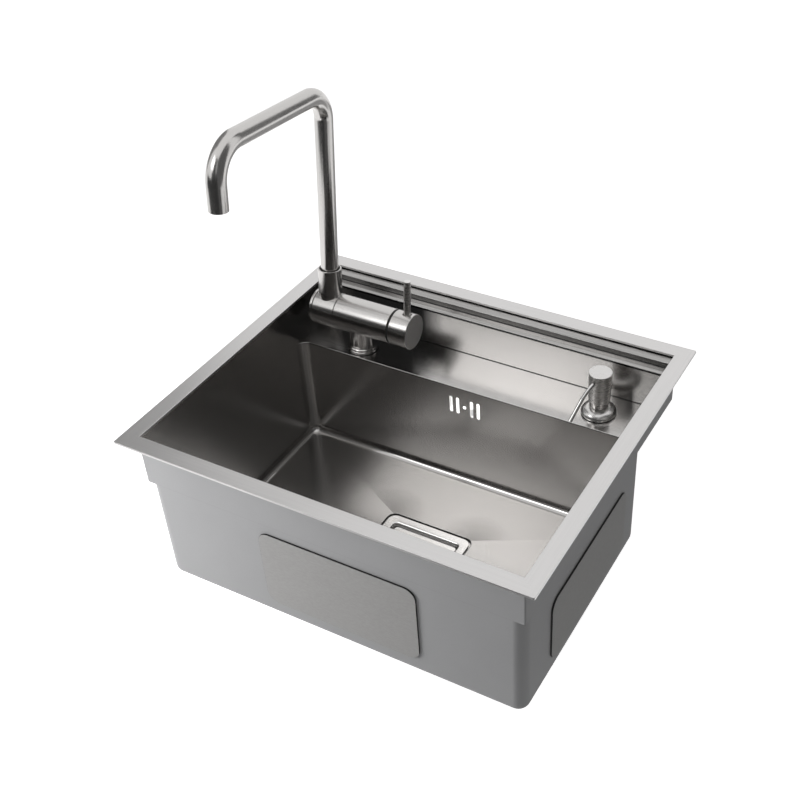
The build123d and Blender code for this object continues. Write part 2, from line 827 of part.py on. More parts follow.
# Cartridge, its clamping nut and the black ring between body and handle
with BuildPart() as cartridge:
    with Locations((body_right - cartridge_nut_length, tap_y, axis_z)):
        Cylinder(
            cartridge_radius,
            cartridge_length - cartridge_nut_length,
            rotation=(0, -90, 0),
            align=LOW,
        )
        Cylinder(cartridge_neck_radius, cartridge_nut_length, rotation=ALONG_X, align=LOW)
        Cylinder(
            spindle_radius + running_clearance,
            cartridge_nut_length,
            rotation=ALONG_X,
            align=LOW,
            mode=Mode.SUBTRACT,
        )
        Cylinder(
            spindle_radius + running_clearance,
            spindle_seat,
            rotation=(0, -90, 0),
            align=LOW,
            mode=Mode.SUBTRACT,
        )
save(cartridge, "cartridge")

with BuildPart() as cartridge_nut:
    with Locations((body_right, tap_y, axis_z)):
        Cylinder(cartridge_nut_radius, cartridge_nut_length, rotation=(0, -90, 0), align=LOW)
        Cylinder(
            cartridge_neck_radius,
            cartridge_nut_length,
            rotation=(0, -90, 0),
            align=LOW,
            mode=Mode.SUBTRACT,
        )
save(cartridge_nut, "cartridge_nut")

with BuildPart() as black_ring:
    with Locations((body_right, tap_y, axis_z)):
        Cylinder(
            barrel_radius - black_ring_inset, black_ring_width, rotation=ALONG_X, align=LOW
        )
        Cylinder(
            black_ring_bore,
            black_ring_width,
            rotation=ALONG_X,
            align=LOW,
            mode=Mode.SUBTRACT,
        )
save(black_ring, "black_ring")

# Handle: the spindle turns in the cartridge, the cap sits on it, and the lever is a round
# pin screwed into the cap through a countersunk hole. A grub screw holds the cap.
cap_length = cap_right - cap_left
spindle_left = body_right - cartridge_nut_length - spindle_seat + spindle_end_play
with BuildPart() as spindle:
    with Locations((spindle_left, tap_y, axis_z)):
        Cylinder(
            spindle_radius, cap_left + spindle_length - spindle_left, rotation=ALONG_X, align=LOW
        )
save(spindle, "spindle")

handle_plane = Plane(
    origin=(lever_x, tap_y, axis_z),
    x_dir=(1, 0, 0),
    z_dir=(0, sin(radians(lever_lean)), cos(radians(lever_lean))),
)
cap_boss = spindle_radius + cap_boss_wall
lever_foot = spindle_radius + lever_seat
lever_hole = lever_radius + lever_hole_clearance
with BuildPart() as handle_cap:
    with Locations((cap_left, tap_y, axis_z)):
        Cylinder(barrel_radius, cap_length, rotation=ALONG_X, align=LOW)
    edge = handle_cap.faces().sort_by(Axis.X)[-1].edges()
    chamfer(edge, turned_edge)
    with Locations((cap_left, tap_y, axis_z)):
        Cylinder(
            barrel_radius - cap_wall,
            cap_length - cap_wall,
            rotation=ALONG_X,
            align=LOW,
            mode=Mode.SUBTRACT,
        )
        Cylinder(cap_boss, cap_length - cap_boss_recess, rotation=ALONG_X, align=LOW)
        Cylinder(
            spindle_radius, spindle_length, rotation=ALONG_X, align=LOW, mode=Mode.SUBTRACT
        )
    with BuildSketch(handle_plane.offset(lever_foot)):
        Circle(lever_hole)
    extrude(amount=barrel_radius, mode=Mode.SUBTRACT)
    with BuildSketch(handle_plane.offset(barrel_radius - countersink_depth)):
        Circle(lever_hole)
    with BuildSketch(handle_plane.offset(barrel_radius + countersink_overrun)):
        Circle(countersink_radius)
    loft(mode=Mode.SUBTRACT)
    with BuildSketch(handle_plane.offset(-spindle_radius)):
        Circle(grub_screw_radius)
    extrude(amount=-barrel_radius, mode=Mode.SUBTRACT)
save(handle_cap, "handle_cap")

with BuildPart() as lever_pin:
    with BuildSketch(handle_plane.offset(lever_foot)):
        Circle(lever_radius)
    extrude(amount=lever_height - lever_foot)
    chamfer(lever_pin.faces().sort_by(Axis.Z)[-1].edges(), lever_chamfer)
save(lever_pin, "lever_pin")

with BuildPart() as handle_grub_screw:
    with BuildSketch(handle_plane.offset(-spindle_radius)):
        Circle(grub_screw_radius)
    extrude(amount=-grub_screw_length)
save(handle_grub_screw, "handle_grub_screw")


# Spout hub: turns on a hollow spigot that is screwed into the tap body, so that the spout
# folds. The hub carries the socket in which the pipe swivels.
spout_plane = Plane(
    origin=(spout_x, tap_y, axis_z),
    x_dir=(1, 0, 0),
    z_dir=(0, sin(radians(spout_lean)), cos(radians(spout_lean))),
)
spigot_head = hub_left + hub_cap_width + spigot_head_gap
groove_places = (hub_right - o_ring_setback_right, hub_left + o_ring_setback_left)
with BuildPart() as spigot:
    with Locations((spigot_head, tap_y, axis_z)):
        Cylinder(spigot_radius, hub_right - spigot_head, rotation=ALONG_X, align=LOW)
    with Locations((hub_right, tap_y, axis_z)):
        Cylinder(
            spigot_radius - spigot_shoulder, spigot_thread_length, rotation=ALONG_X, align=LOW
        )
        Cylinder(
            spigot_bore - spigot_shoulder,
            spigot_thread_length,
            rotation=ALONG_X,
            align=LOW,
            mode=Mode.SUBTRACT,
        )
        Cylinder(
            spigot_bore,
            hub_right - spout_x + spigot_thread_length,
            rotation=(0, -90, 0),
            align=LOW,
            mode=Mode.SUBTRACT,
        )
    with Locations((spout_x, tap_y, axis_z)):
        Cylinder(spigot_port_radius, 4 * spigot_radius, mode=Mode.SUBTRACT)
    for groove_x in groove_places:
        with Locations((groove_x, tap_y, axis_z)):
            Cylinder(
                spigot_radius + groove_depth,
                groove_width,
                rotation=ALONG_X,
                align=LOW,
                mode=Mode.SUBTRACT,
            )
            Cylinder(
                spigot_radius - groove_depth,
                groove_width,
                rotation=ALONG_X,
                align=LOW,
            )
            Cylinder(
                spigot_bore,
                groove_width,
                rotation=ALONG_X,
                align=LOW,
                mode=Mode.SUBTRACT,
            )
    with Locations((spigot_head, tap_y, axis_z)):
        Cylinder(
            retainer_screw_radius,
            retainer_screw_length,
            rotation=ALONG_X,
            align=LOW,
            mode=Mode.SUBTRACT,
        )
save(spigot, "spigot")

with BuildPart() as spigot_o_rings:
    for groove_x in groove_places:
        with Locations((groove_x + o_ring_play, tap_y, axis_z)):
            Cylinder(
                spigot_radius + o_ring_squeeze,
                groove_width - 2 * o_ring_play,
                rotation=ALONG_X,
                align=LOW,
            )
            Cylinder(
                spigot_radius - groove_depth,
                groove_width - 2 * o_ring_play,
                rotation=ALONG_X,
                align=LOW,
                mode=Mode.SUBTRACT,
            )
save(spigot_o_rings, "spigot_o_rings")

# Washer and screw that keep the hub on the spigot
with BuildPart() as spigot_washer:
    with Locations((spigot_head, tap_y, axis_z)):
        Cylinder(retainer_radius, retainer_thickness, rotation=(0, -90, 0), align=LOW)
        Cylinder(
            retainer_hole_radius,
            retainer_thickness,
            rotation=(0, -90, 0),
            align=LOW,
            mode=Mode.SUBTRACT,
        )
save(spigot_washer, "spigot_washer")

with BuildPart() as spigot_screw:
    with Locations((spigot_head - retainer_thickness, tap_y, axis_z)):
        Cylinder(retainer_head, retainer_head_height, rotation=(0, -90, 0), align=LOW)
        Cylinder(
            retainer_screw_radius,
            retainer_thickness + retainer_screw_length,
            rotation=ALONG_X,
            align=LOW,
        )
save(spigot_screw, "spigot_screw")

hub_face = hub_left + hub_cap_width
with BuildPart() as spout_hub:
    with Locations((hub_face, tap_y, axis_z)):
        Cylinder(barrel_radius, hub_right - hub_face, rotation=ALONG_X, align=LOW)
        Cylinder(
            spigot_radius + running_clearance,
            hub_right - hub_face,
            rotation=ALONG_X,
            align=LOW,
            mode=Mode.SUBTRACT,
        )
        Cylinder(
            retainer_radius + retainer_clearance,
            spigot_head - hub_face + retainer_play,
            rotation=ALONG_X,
            align=LOW,
            mode=Mode.SUBTRACT,
        )
    with BuildSketch(spout_plane):
        Circle(hub_port_radius)
    extrude(amount=socket_seat, mode=Mode.SUBTRACT)
    with BuildSketch(spout_plane.offset(socket_seat)):
        Circle(socket_radius + running_clearance)
    extrude(amount=barrel_radius, mode=Mode.SUBTRACT)
save(spout_hub, "spout_hub")

# End cap of the hub, hollowed for the screw's head
with BuildPart() as hub_end_cap:
    with Locations((hub_left, tap_y, axis_z)):
        Cylinder(barrel_radius, hub_cap_width, rotation=ALONG_X, align=LOW)
    chamfer(hub_end_cap.faces().sort_by(Axis.X)[0].edges(), hub_cap_chamfer)
    with Locations((hub_face, tap_y, axis_z)):
        Cylinder(
            retainer_head + hub_cap_skin,
            hub_cap_width - hub_cap_skin,
            rotation=(0, -90, 0),
            align=LOW,
            mode=Mode.SUBTRACT,
        )
save(hub_end_cap, "hub_end_cap")

# Socket on the hub, with the O-ring and the slip bush that guide the pipe
with BuildPart() as spout_socket:
    with BuildSketch(spout_plane.offset(socket_seat)):
        Circle(socket_radius)
    extrude(amount=socket_top - socket_seat)
    chamfer(spout_socket.faces().sort_by(Axis.Z)[-1].edges(), turned_edge)
    with BuildSketch(spout_plane.offset(socket_seat)):
        Circle(hub_port_radius)
    extrude(amount=socket_top, mode=Mode.SUBTRACT)
    with BuildSketch(spout_plane.offset(pipe_foot - pipe_seat_gap)):
        Circle(socket_bore)
    extrude(amount=socket_top, mode=Mode.SUBTRACT)
save(spout_socket, "spout_socket")

with BuildPart() as pipe_o_ring:
    with BuildSketch(spout_plane.offset(pipe_foot)):
        Circle(socket_bore - press_fit_gap)
        Circle(pipe_radius + running_clearance, mode=Mode.SUBTRACT)
    extrude(amount=o_ring_height)
save(pipe_o_ring, "pipe_o_ring")

with BuildPart() as pipe_bush:
    with BuildSketch(spout_plane.offset(pipe_foot + o_ring_height)):
        Circle(socket_bore - press_fit_gap)
        Circle(pipe_radius + running_clearance, mode=Mode.SUBTRACT)
    extrude(amount=bush_top - pipe_foot - o_ring_height)
save(pipe_bush, "pipe_bush")

# Spout pipe: up from the socket, forward over the bowl and down to the tip
turn_x = sin(radians(spout_turn))
turn_y = cos(radians(spout_turn))
forward = -turn_y * spout_plane.y_dir + turn_x * spout_plane.x_dir
bend_plane = Plane(
    origin=spout_plane.origin, x_dir=forward, z_dir=forward.cross(spout_plane.z_dir)
)
with BuildPart() as spout_pipe:
    with BuildLine(bend_plane) as pipe_path:
        FilletPolyline(
            (0, pipe_foot),
            (0, spout_height),
            (spout_reach, spout_height),
            (spout_reach, spout_height - spout_drop),
            radius=[back_bend, front_bend],
        )
    with BuildSketch(spout_plane.offset(pipe_foot)):
        Circle(pipe_radius)
        Circle(pipe_bore, mode=Mode.SUBTRACT)
    sweep(path=pipe_path.line)
save(spout_pipe, "spout_pipe")

tip_plane = Plane(
    origin=bend_plane.from_local_coords(Vector(spout_reach, spout_height - spout_drop, 0)),
    x_dir=forward,
    z_dir=spout_plane.z_dir,
)
with BuildPart() as aerator:
    with BuildSketch(tip_plane.offset(aerator_setback)):
        Circle(pipe_bore - running_clearance)
    extrude(amount=aerator_length)
    with BuildSketch(tip_plane.offset(aerator_setback)):
        Circle(pipe_bore - aerator_lip)
    extrude(amount=aerator_recess, mode=Mode.SUBTRACT)
    with BuildSketch(tip_plane.offset(aerator_setback)):
        with HexLocations(aerator_hole_pitch, aerator_hole_rows, aerator_hole_rows):
            Circle(aerator_hole_radius)
    extrude(amount=aerator_length, mode=Mode.SUBTRACT)
save(aerator, "aerator")


# Soap pump: a domed base with a threaded neck through the recess floor, held by a nut
dome_foot = deck_z + dome_gasket
dome_top = dome_foot + dome_height
with BuildPart() as pump_gasket:
    with Locations((pump_x, pump_y, deck_z)):
        Cylinder(dome_radius - dome_gasket_inset, dome_gasket, align=LOW)
        Cylinder(neck_radius + neck_clearance, dome_gasket, align=LOW, mode=Mode.SUBTRACT)
save(pump_gasket, "pump_gasket")

with BuildPart() as pump_base:
    with BuildSketch(Plane.XZ.offset(-pump_y)):
        with BuildLine():
            Polyline(
                (pump_x + neck_bore, dome_top),
                (pump_x + neck_bore, dome_foot - neck_length),
                (pump_x + neck_radius, dome_foot - neck_length),
                (pump_x + neck_radius, dome_foot),
                (pump_x + dome_radius, dome_foot),
                (pump_x + dome_radius, dome_foot + dome_rim),
            )
            RadiusArc(
                (pump_x + dome_radius, dome_foot + dome_rim),
                (pump_x + guide_radius + dome_land, dome_top),
                -(dome_radius - guide_radius),
            )
            Line((pump_x + guide_radius + dome_land, dome_top), (pump_x + neck_bore, dome_top))
        make_face()
    revolve(axis=Axis((pump_x, pump_y, 0), (0, 0, 1)))
save(pump_base, "pump_base")

with BuildPart() as pump_rubber_washer:
    with Locations((pump_x, pump_y, washer_top)):
        Cylinder(dome_radius - pump_washer_inset, washer_rubber, align=HIGH)
        Cylinder(
            neck_radius + neck_clearance, washer_rubber, align=HIGH, mode=Mode.SUBTRACT
        )
save(pump_rubber_washer, "pump_rubber_washer")

with BuildPart() as pump_nut:
    with BuildSketch(Plane.XY.offset(washer_top - washer_rubber)):
        with Locations((pump_x, pump_y)):
            RegularPolygon(nut_across_flats / 2, 6, major_radius=False)
            Circle(neck_radius, mode=Mode.SUBTRACT)
    extrude(amount=-nut_height)
save(pump_nut, "pump_nut")

# Collar that closes the neck and guides the head
with BuildPart() as pump_collar:
    with Locations((pump_x, pump_y, dome_top)):
        Cylinder(guide_radius, guide_height, align=LOW)
        Cylinder(neck_bore - press_fit_gap, collar_spigot, align=HIGH)
    with Locations((pump_x, pump_y, dome_top - collar_spigot)):
        Cylinder(
            stem_radius + running_clearance,
            guide_height + collar_spigot,
            align=LOW,
            mode=Mode.SUBTRACT,
        )
save(pump_collar, "pump_collar")

# Pump cylinder, hung by its flange under the collar, with the dip tube below
cylinder_top = dome_top - collar_spigot
cylinder_foot = cylinder_top - cylinder_length
with BuildPart() as pump_cylinder:
    with Locations((pump_x, pump_y, cylinder_top)):
        Cylinder(neck_bore - running_clearance, cylinder_flange, align=HIGH)
        Cylinder(cylinder_radius, cylinder_length, align=HIGH)
        Cylinder(
            cylinder_bore,
            cylinder_length - tube_socket - cylinder_floor,
            align=HIGH,
            mode=Mode.SUBTRACT,
        )
    with Locations((pump_x, pump_y, cylinder_foot)):
        Cylinder(dip_tube_radius, tube_socket, align=LOW, mode=Mode.SUBTRACT)
        Cylinder(stem_bore, 2 * tube_socket, align=LOW, mode=Mode.SUBTRACT)
save(pump_cylinder, "pump_cylinder")

piston_top = cylinder_top - piston_drop
stem_top = pump_head_z - stem_depth
with BuildPart() as pump_plunger:
    with Locations((pump_x, pump_y, stem_top)):
        Cylinder(stem_radius, stem_top - piston_top, align=HIGH)
    with Locations((pump_x, pump_y, piston_top)):
        Cylinder(piston_radius, piston_height, align=HIGH)
    with Locations((pump_x, pump_y, stem_top)):
        Cylinder(
            stem_bore, stem_top - piston_top + piston_height, align=HIGH, mode=Mode.SUBTRACT
        )
save(pump_plunger, "pump_plunger")

spring_foot = cylinder_foot + tube_socket + cylinder_floor + spring_wire
spring_length = piston_top - piston_height - spring_wire - spring_foot
with BuildPart() as pump_spring:
    with BuildLine(Plane.XY) as spring_path:
        Helix(
            spring_length / spring_turns,
            spring_length,
            spring_radius,
            center=(pump_x, pump_y, spring_foot),
        )
    with BuildSketch(Plane(origin=spring_path.line @ 0, z_dir=spring_path.line % 0)):
        Circle(spring_wire)
    sweep(path=spring_path.line, is_frenet=True)
save(pump_spring, "pump_spring")

bottle_top = deck_z - bottle_neck_drop
bottle_foot = bottle_top - bottle_height
dip_tube_length = cylinder_foot + tube_socket - bottle_foot - dip_tube_foot_gap
with BuildPart() as dip_tube:
    with Locations((pump_x, pump_y, cylinder_foot + tube_socket)):
        Cylinder(dip_tube_radius, dip_tube_length, align=HIGH)
        Cylinder(
            dip_tube_radius - dip_tube_wall, dip_tube_length, align=HIGH, mode=Mode.SUBTRACT
        )
save(dip_tube, "dip_tube")

# Soap bottle, screwed on the neck from below
neck_foot = bottle_top - bottle_neck_length
shoulder_foot = neck_foot - bottle_shoulder
with BuildPart() as soap_bottle:
    with Locations((pump_x, pump_y, bottle_top)):
        Cylinder(bottle_neck_radius, bottle_top - neck_foot, align=HIGH)
    with Locations((pump_x, pump_y, neck_foot)):
        Cone(
            bottle_radius, bottle_neck_radius, neck_foot - shoulder_foot, align=HIGH
        )
    with Locations((pump_x, pump_y, shoulder_foot)):
        Cylinder(bottle_radius, shoulder_foot - bottle_foot, align=HIGH)
    fillet(soap_bottle.faces().sort_by(Axis.Z)[0].edges(), bottle_edge_radius)
    with Locations((pump_x, pump_y, bottle_top)):
        Cylinder(
            neck_radius, bottle_top - neck_foot + bottle_throat, align=HIGH, mode=Mode.SUBTRACT
        )
    with Locations((pump_x, pump_y, neck_foot - bottle_throat)):
        Cone(
            bottle_radius - bottle_wall,
            neck_radius,
            neck_foot - shoulder_foot,
            align=HIGH,
            mode=Mode.SUBTRACT,
        )
    with Locations((pump_x, pump_y, shoulder_foot - bottle_throat)):
        Cylinder(
            bottle_radius - bottle_wall,
            shoulder_foot - bottle_foot - bottle_throat - bottle_wall,
            align=HIGH,
            mode=Mode.SUBTRACT,
        )
save(soap_bottle, "soap_bottle")

# Head and nozzle: the head slides down over the collar when it is pressed
out_x = -sin(radians(nozzle_turn))
out_y = -cos(radians(nozzle_turn))
nozzle_plane = Plane(
    origin=(pump_x, pump_y, deck_z), x_dir=(out_x, out_y, 0), z_dir=(out_y, -out_x, 0)
)
head_foot = pump_head_z - head_height
with BuildPart() as nozzle:
    with BuildLine(nozzle_plane) as nozzle_path:
        FilletPolyline(
            (nozzle_root_out, nozzle_start),
            (nozzle_knee_out, nozzle_knee_height),
            (nozzle_reach, nozzle_tip_height),
            radius=nozzle_bend,
        )
    nozzle_root = Plane(origin=nozzle_path.line @ 0, z_dir=nozzle_path.line % 0)
    with BuildSketch(nozzle_root):
        Circle(nozzle_radius)
        Circle(nozzle_bore, mode=Mode.SUBTRACT)
    sweep(path=nozzle_path.line)
save(nozzle, "nozzle")

with BuildPart() as pump_head:
    with Locations((pump_x, pump_y, head_foot)):
        Cone(head_radius_bottom, head_radius_top, head_height, align=LOW)
    chamfer(pump_head.faces().sort_by(Axis.Z)[-1].edges(), turned_edge)
    with Locations((pump_x, pump_y, head_foot)):
        Cylinder(guide_radius + head_play, head_hollow, align=LOW, mode=Mode.SUBTRACT)
    with Locations((pump_x, pump_y, stem_top)):
        Cylinder(stem_radius + running_clearance, head_height, align=HIGH, mode=Mode.SUBTRACT)
        Cylinder(stem_bore, stem_passage, align=LOW, mode=Mode.SUBTRACT)
    with BuildSketch(nozzle_root):
        Circle(nozzle_radius)
    extrude(amount=2 * head_radius_top, mode=Mode.SUBTRACT)
    with BuildSketch(nozzle_root):
        Circle(nozzle_bore)
    extrude(amount=-nozzle_root_out, mode=Mode.SUBTRACT)
save(pump_head, "pump_head")
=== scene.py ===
from math import cos, radians, sin

import bmesh
import bpy
from mathutils import Matrix, Vector


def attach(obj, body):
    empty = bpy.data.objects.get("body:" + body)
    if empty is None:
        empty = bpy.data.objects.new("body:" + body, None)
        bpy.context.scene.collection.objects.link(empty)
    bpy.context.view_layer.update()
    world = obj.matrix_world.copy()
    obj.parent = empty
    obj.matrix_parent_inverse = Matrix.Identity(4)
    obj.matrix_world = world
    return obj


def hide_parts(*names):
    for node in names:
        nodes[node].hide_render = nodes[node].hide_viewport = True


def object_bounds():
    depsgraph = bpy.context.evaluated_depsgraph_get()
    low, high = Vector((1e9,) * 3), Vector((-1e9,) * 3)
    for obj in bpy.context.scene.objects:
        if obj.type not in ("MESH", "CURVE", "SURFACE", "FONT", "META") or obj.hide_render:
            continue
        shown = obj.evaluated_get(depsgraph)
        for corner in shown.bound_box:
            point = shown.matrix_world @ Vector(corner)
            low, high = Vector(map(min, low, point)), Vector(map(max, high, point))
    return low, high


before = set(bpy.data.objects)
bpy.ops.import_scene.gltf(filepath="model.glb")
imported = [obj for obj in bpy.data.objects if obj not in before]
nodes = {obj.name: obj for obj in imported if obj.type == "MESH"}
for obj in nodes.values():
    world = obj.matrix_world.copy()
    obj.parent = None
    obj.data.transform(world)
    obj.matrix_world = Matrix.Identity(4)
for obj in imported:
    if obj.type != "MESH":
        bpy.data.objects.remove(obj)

cad_box = [list(corner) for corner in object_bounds()]
bpy.ops.object.select_all(action="DESELECT")


# Camera: high above the front right corner, where the photograph was taken from. Its pose is
# given by its right and its up, and its shift by how the photograph is framed.
bpy.ops.object.camera_add()
camera = bpy.context.object
camera_place = (0.5618, -0.8811, 0.8045)
camera_right = Vector((0.87910, 0.47571, -0.02980))
camera_up = Vector((-0.27928, 0.56476, 0.77656))
camera_pose = Matrix((camera_right, camera_up, camera_right.cross(camera_up)))
camera_pose = camera_pose.transposed().to_4x4()
camera_pose.translation = camera_place
camera.matrix_world = camera_pose
camera.data.sensor_width = 36.0
camera.data.lens = 53.29
camera.data.shift_x = -0.0767
camera.data.shift_y = 0.0292
camera.data.clip_start = 0.01
bpy.context.scene.camera = camera
bpy.context.scene.view_settings.view_transform = "Standard"


# Studio: a pale floor under the sink and a pale surround, with a low lamp at the front left
# and a soft one above it. The camera and reflections see the surround white; its light on the
# sink is dimmer. Cards round it, from black to white, show only in the steel's reflections.
class Pattern:
    """A value or colour that changes over a surface; a sum on it adds Math nodes."""

    def __init__(self, tree, socket=None):
        self.tree = tree
        self.socket = socket

    def node(self, kind, inputs=None, output=0, stops=None, **settings):
        """Add a node: its settings and a ramp's stops first, then its sockets."""
        made = self.tree.nodes.new(kind)
        for name, value in settings.items():
            setattr(made, name, value)
        if stops:
            ramp = made.color_ramp.elements
            while len(ramp) < len(stops):
                ramp.new(0.5)
            for element, (position, level) in zip(ramp, stops):
                element.position = position
                element.color = (level, level, level, 1)
        for name, value in (inputs or {}).items():
            if isinstance(value, Pattern):
                self.tree.links.new(value.socket, made.inputs[name])
            else:
                made.inputs[name].default_value = value
        return Pattern(self.tree, made.outputs[output])

    def feed(self, shader, name):
        """Lead this value into a socket of a shader."""
        self.tree.links.new(self.socket, shader.inputs[name])

    def math(self, operation, first, second=0.0):
        """Add a Math node on one or two values."""
        return self.node("ShaderNodeMath", {0: first, 1: second}, operation=operation)

    def __add__(self, other):
        return self.math("ADD", self, other)

    __radd__ = __add__

    def __sub__(self, other):
        return self.math("SUBTRACT", self, other)

    def __rsub__(self, other):
        return self.math("SUBTRACT", other, self)

    def __mul__(self, other):
        return self.math("MULTIPLY", self, other)

    __rmul__ = __mul__

    def __truediv__(self, other):
        return self.math("DIVIDE", self, other)

    def __gt__(self, other):
        return self.math("GREATER_THAN", self, other)

    def __lt__(self, other):
        return self.math("LESS_THAN", self, other)


def seen_by_camera(pattern):
    """1 for rays from the camera, from gloss and through glass, and 0 for the rest."""
    camera_ray = pattern.node("ShaderNodeLightPath", output="Is Camera Ray")
    glossy_ray = pattern.node("ShaderNodeLightPath", output="Is Glossy Ray")
    through_ray = pattern.node("ShaderNodeLightPath", output="Is Transmission Ray")
    return pattern.math("MAXIMUM", pattern.math("MAXIMUM", camera_ray, glossy_ray), through_ray)


surround = bpy.data.worlds.new("surround")
bpy.context.scene.world = surround
surround.use_nodes = True
surround_light = surround.node_tree.nodes["Background"]
surround_light.inputs["Color"].default_value = (1.0, 1.0, 1.0, 1.0)
surround_level = 0.27
surround_seen = seen_by_camera(Pattern(surround.node_tree))
surround_glow = surround_seen * (1.0 - surround_level) + surround_level
surround_glow.feed(surround_light, "Strength")


def own_place(material):
    """A piece's own coordinates, for a material on it."""
    return Pattern(material.node_tree).node("ShaderNodeTexCoord", output="Object")


def along(place, axis):
    """One coordinate of a place: 0 for X, 1 for Y and 2 for Z."""
    return place.node("ShaderNodeSeparateXYZ", {"Vector": place}, output=axis)


def finish(name, colour, metallic, roughness):
    """A new material: the material, its shader and the piece's own coordinates."""
    material = bpy.data.materials.new(name)
    material.use_nodes = True
    shader = material.node_tree.nodes["Principled BSDF"]
    shader.inputs["Base Color"].default_value = (*colour, 1.0)
    shader.inputs["Metallic"].default_value = metallic
    shader.inputs["Roughness"].default_value = roughness
    return material, shader, own_place(material)


lowest = cad_box[0][2]
floor_gap = 0.002
floor_size = 14
floor_white = 0.85
bpy.ops.mesh.primitive_plane_add(size=floor_size, location=(0, 0, lowest - floor_gap))
floor = bpy.context.object
floor.name = "floor"
floor_finish, shader, place = finish("floor", (0.8, 0.8, 0.8), 0.0, 0.9)
shader.inputs["Emission Color"].default_value = (1.0, 1.0, 1.0, 1.0)
(seen_by_camera(place) * floor_white).feed(shader, "Emission Strength")
floor.data.materials.append(floor_finish)


def lamp(name, place, aim, width, height, power, mirrored=True):
    """A soft rectangular lamp at a place, aimed at a point. The steel may mirror it."""
    bpy.ops.object.light_add(type="AREA", location=place)
    light = bpy.context.object
    light.name = name
    light.data.shape = "RECTANGLE"
    light.data.size = width
    light.data.size_y = height
    light.data.energy = power
    direction = Vector(aim) - Vector(place)
    light.rotation_euler = direction.to_track_quat("-Z", "Y").to_euler()
    light.visible_glossy = mirrored


lamp("soft box", (-0.46, -0.80, 0.94), (0.0, 0.15, -0.05), 0.56, 0.45, 2.2)
lamp("low lamp", (-0.85, -0.62, 0.10), (-0.1, -0.2, -0.13), 0.5, 0.4, 10.3, False)


def card_at(name, glow, place, width, height, turn=None):
    """A card of a glow that shows only in reflections. It lies flat, or stands up at a turn.
    It returns its shader and its own coordinates."""
    tilt = 0.0 if turn is None else 90.0
    bpy.ops.mesh.primitive_plane_add(
        size=1, location=place, rotation=(radians(tilt), 0.0, radians(turn or 0.0))
    )
    card = bpy.context.object
    card.name = name
    card.scale = (width, height, 1.0)
    card.visible_camera = False
    card.visible_diffuse = False
    card.visible_transmission = False
    card.visible_shadow = False
    card_finish, shader, place = finish(name, (0.01, 0.01, 0.01), 0.0, 1.0)
    shader.inputs["Emission Color"].default_value = (1.0, 1.0, 1.0, 1.0)
    shader.inputs["Emission Strength"].default_value = glow
    card.data.materials.append(card_finish)
    return shader, place


card_lift = 0.003
on_floor = lowest + card_lift
card_at("right card", 0.12, (1.25, -0.50, 1.20), 2.2, 2.9, 90.0)
card_at("back right card", 1.00, (1.25, 1.10, 1.20), 1.0, 2.9, 90.0)
card_at("far card", 0.12, (1.25, 2.40, 1.20), 1.6, 2.9, 90.0)
card_at("front card", 0.06, (0.42, -1.70, 1.20), 1.85, 2.9, 0.0)
card_at("front right card", 0.45, (0.98, -1.69, 1.60), 0.75, 1.4, 0.0)
card_at("left floor card", 1.25, (-0.80, -0.05, on_floor), 1.0, 1.9)
card_at("low card", 0.03, (-0.30, -0.45, 0.16), 1.2, 0.31, 0.0)
card_at("rim card", 0.25, (-1.10, 0.30, 0.95), 1.0, 1.5, 90.0)
card_at("front floor card", 0.09, (0.75, -1.15, on_floor), 1.7, 1.7)
card_at("edge card", 0.60, (-0.08, -0.48, on_floor), 0.40, 0.32)
card_at("back floor card", 0.35, (0.0, 1.10, on_floor), 0.9, 1.2)
# The card beyond the tap fades out over a fifth of its width on the right and a seventh on
# the left, so that its ends don't show.
tap_card_place = (-0.1460, 0.1520, -0.0275)
shader, place = card_at("tap card", 0.015, tap_card_place, 0.154, 0.062, 0.0)
card_x = along(place, 0)
card_end = 0.5
faded = card_x.math("MINIMUM", (card_end - card_x) * 5.0, (card_x + card_end) * 7.0)
card_x.math("MINIMUM", faded, 1.0).feed(shader, "Alpha")
bpy.ops.object.select_all(action="DESELECT")


# Rim plate: a flat frame of 3 mm stainless steel that covers the edge of the worktop's
# cut-out. Each side is brushed along its length, and its edges are broken by hand.
rim_length, rim_depth = 0.500, 0.430
rim_width = 0.020
rim_thickness = 0.003
rim_corner = 0.002
inside_x, inside_y = rim_length / 2 - rim_width, rim_depth / 2 - rim_width


def noise(place, stretch, detail=2.0):
    """Soft noise from 0 to 1; stretch gives its waves per metre along each axis."""
    stretched = place.node("ShaderNodeVectorMath", {0: place, 1: stretch}, operation="MULTIPLY")
    return place.node("ShaderNodeTexNoise", {"Vector": stretched, "Scale": 1.0, "Detail": detail})


def shade_between(level, dark, light):
    """A colour between two, chosen by a value from 0 to 1."""
    ends = [end if isinstance(end, Pattern) else (*end, 1.0) for end in (dark, light)]
    return level.node(
        "ShaderNodeMix",
        {"Factor": level, "A": ends[0], "B": ends[1]},
        output="Result",
        data_type="RGBA",
    )


def choose(mask, first, second):
    """The first value where the mask is 0 and the second where it is 1."""
    return mask.node("ShaderNodeMix", {"Factor": mask, "A": first, "B": second})


def bumped(height, shader, depth):
    """Raise the surface by a height from 0 to 1 times a depth in metres."""
    raised = height.node("ShaderNodeBump", {"Height": height, "Strength": 1.0, "Distance": depth})
    raised.feed(shader, "Normal")


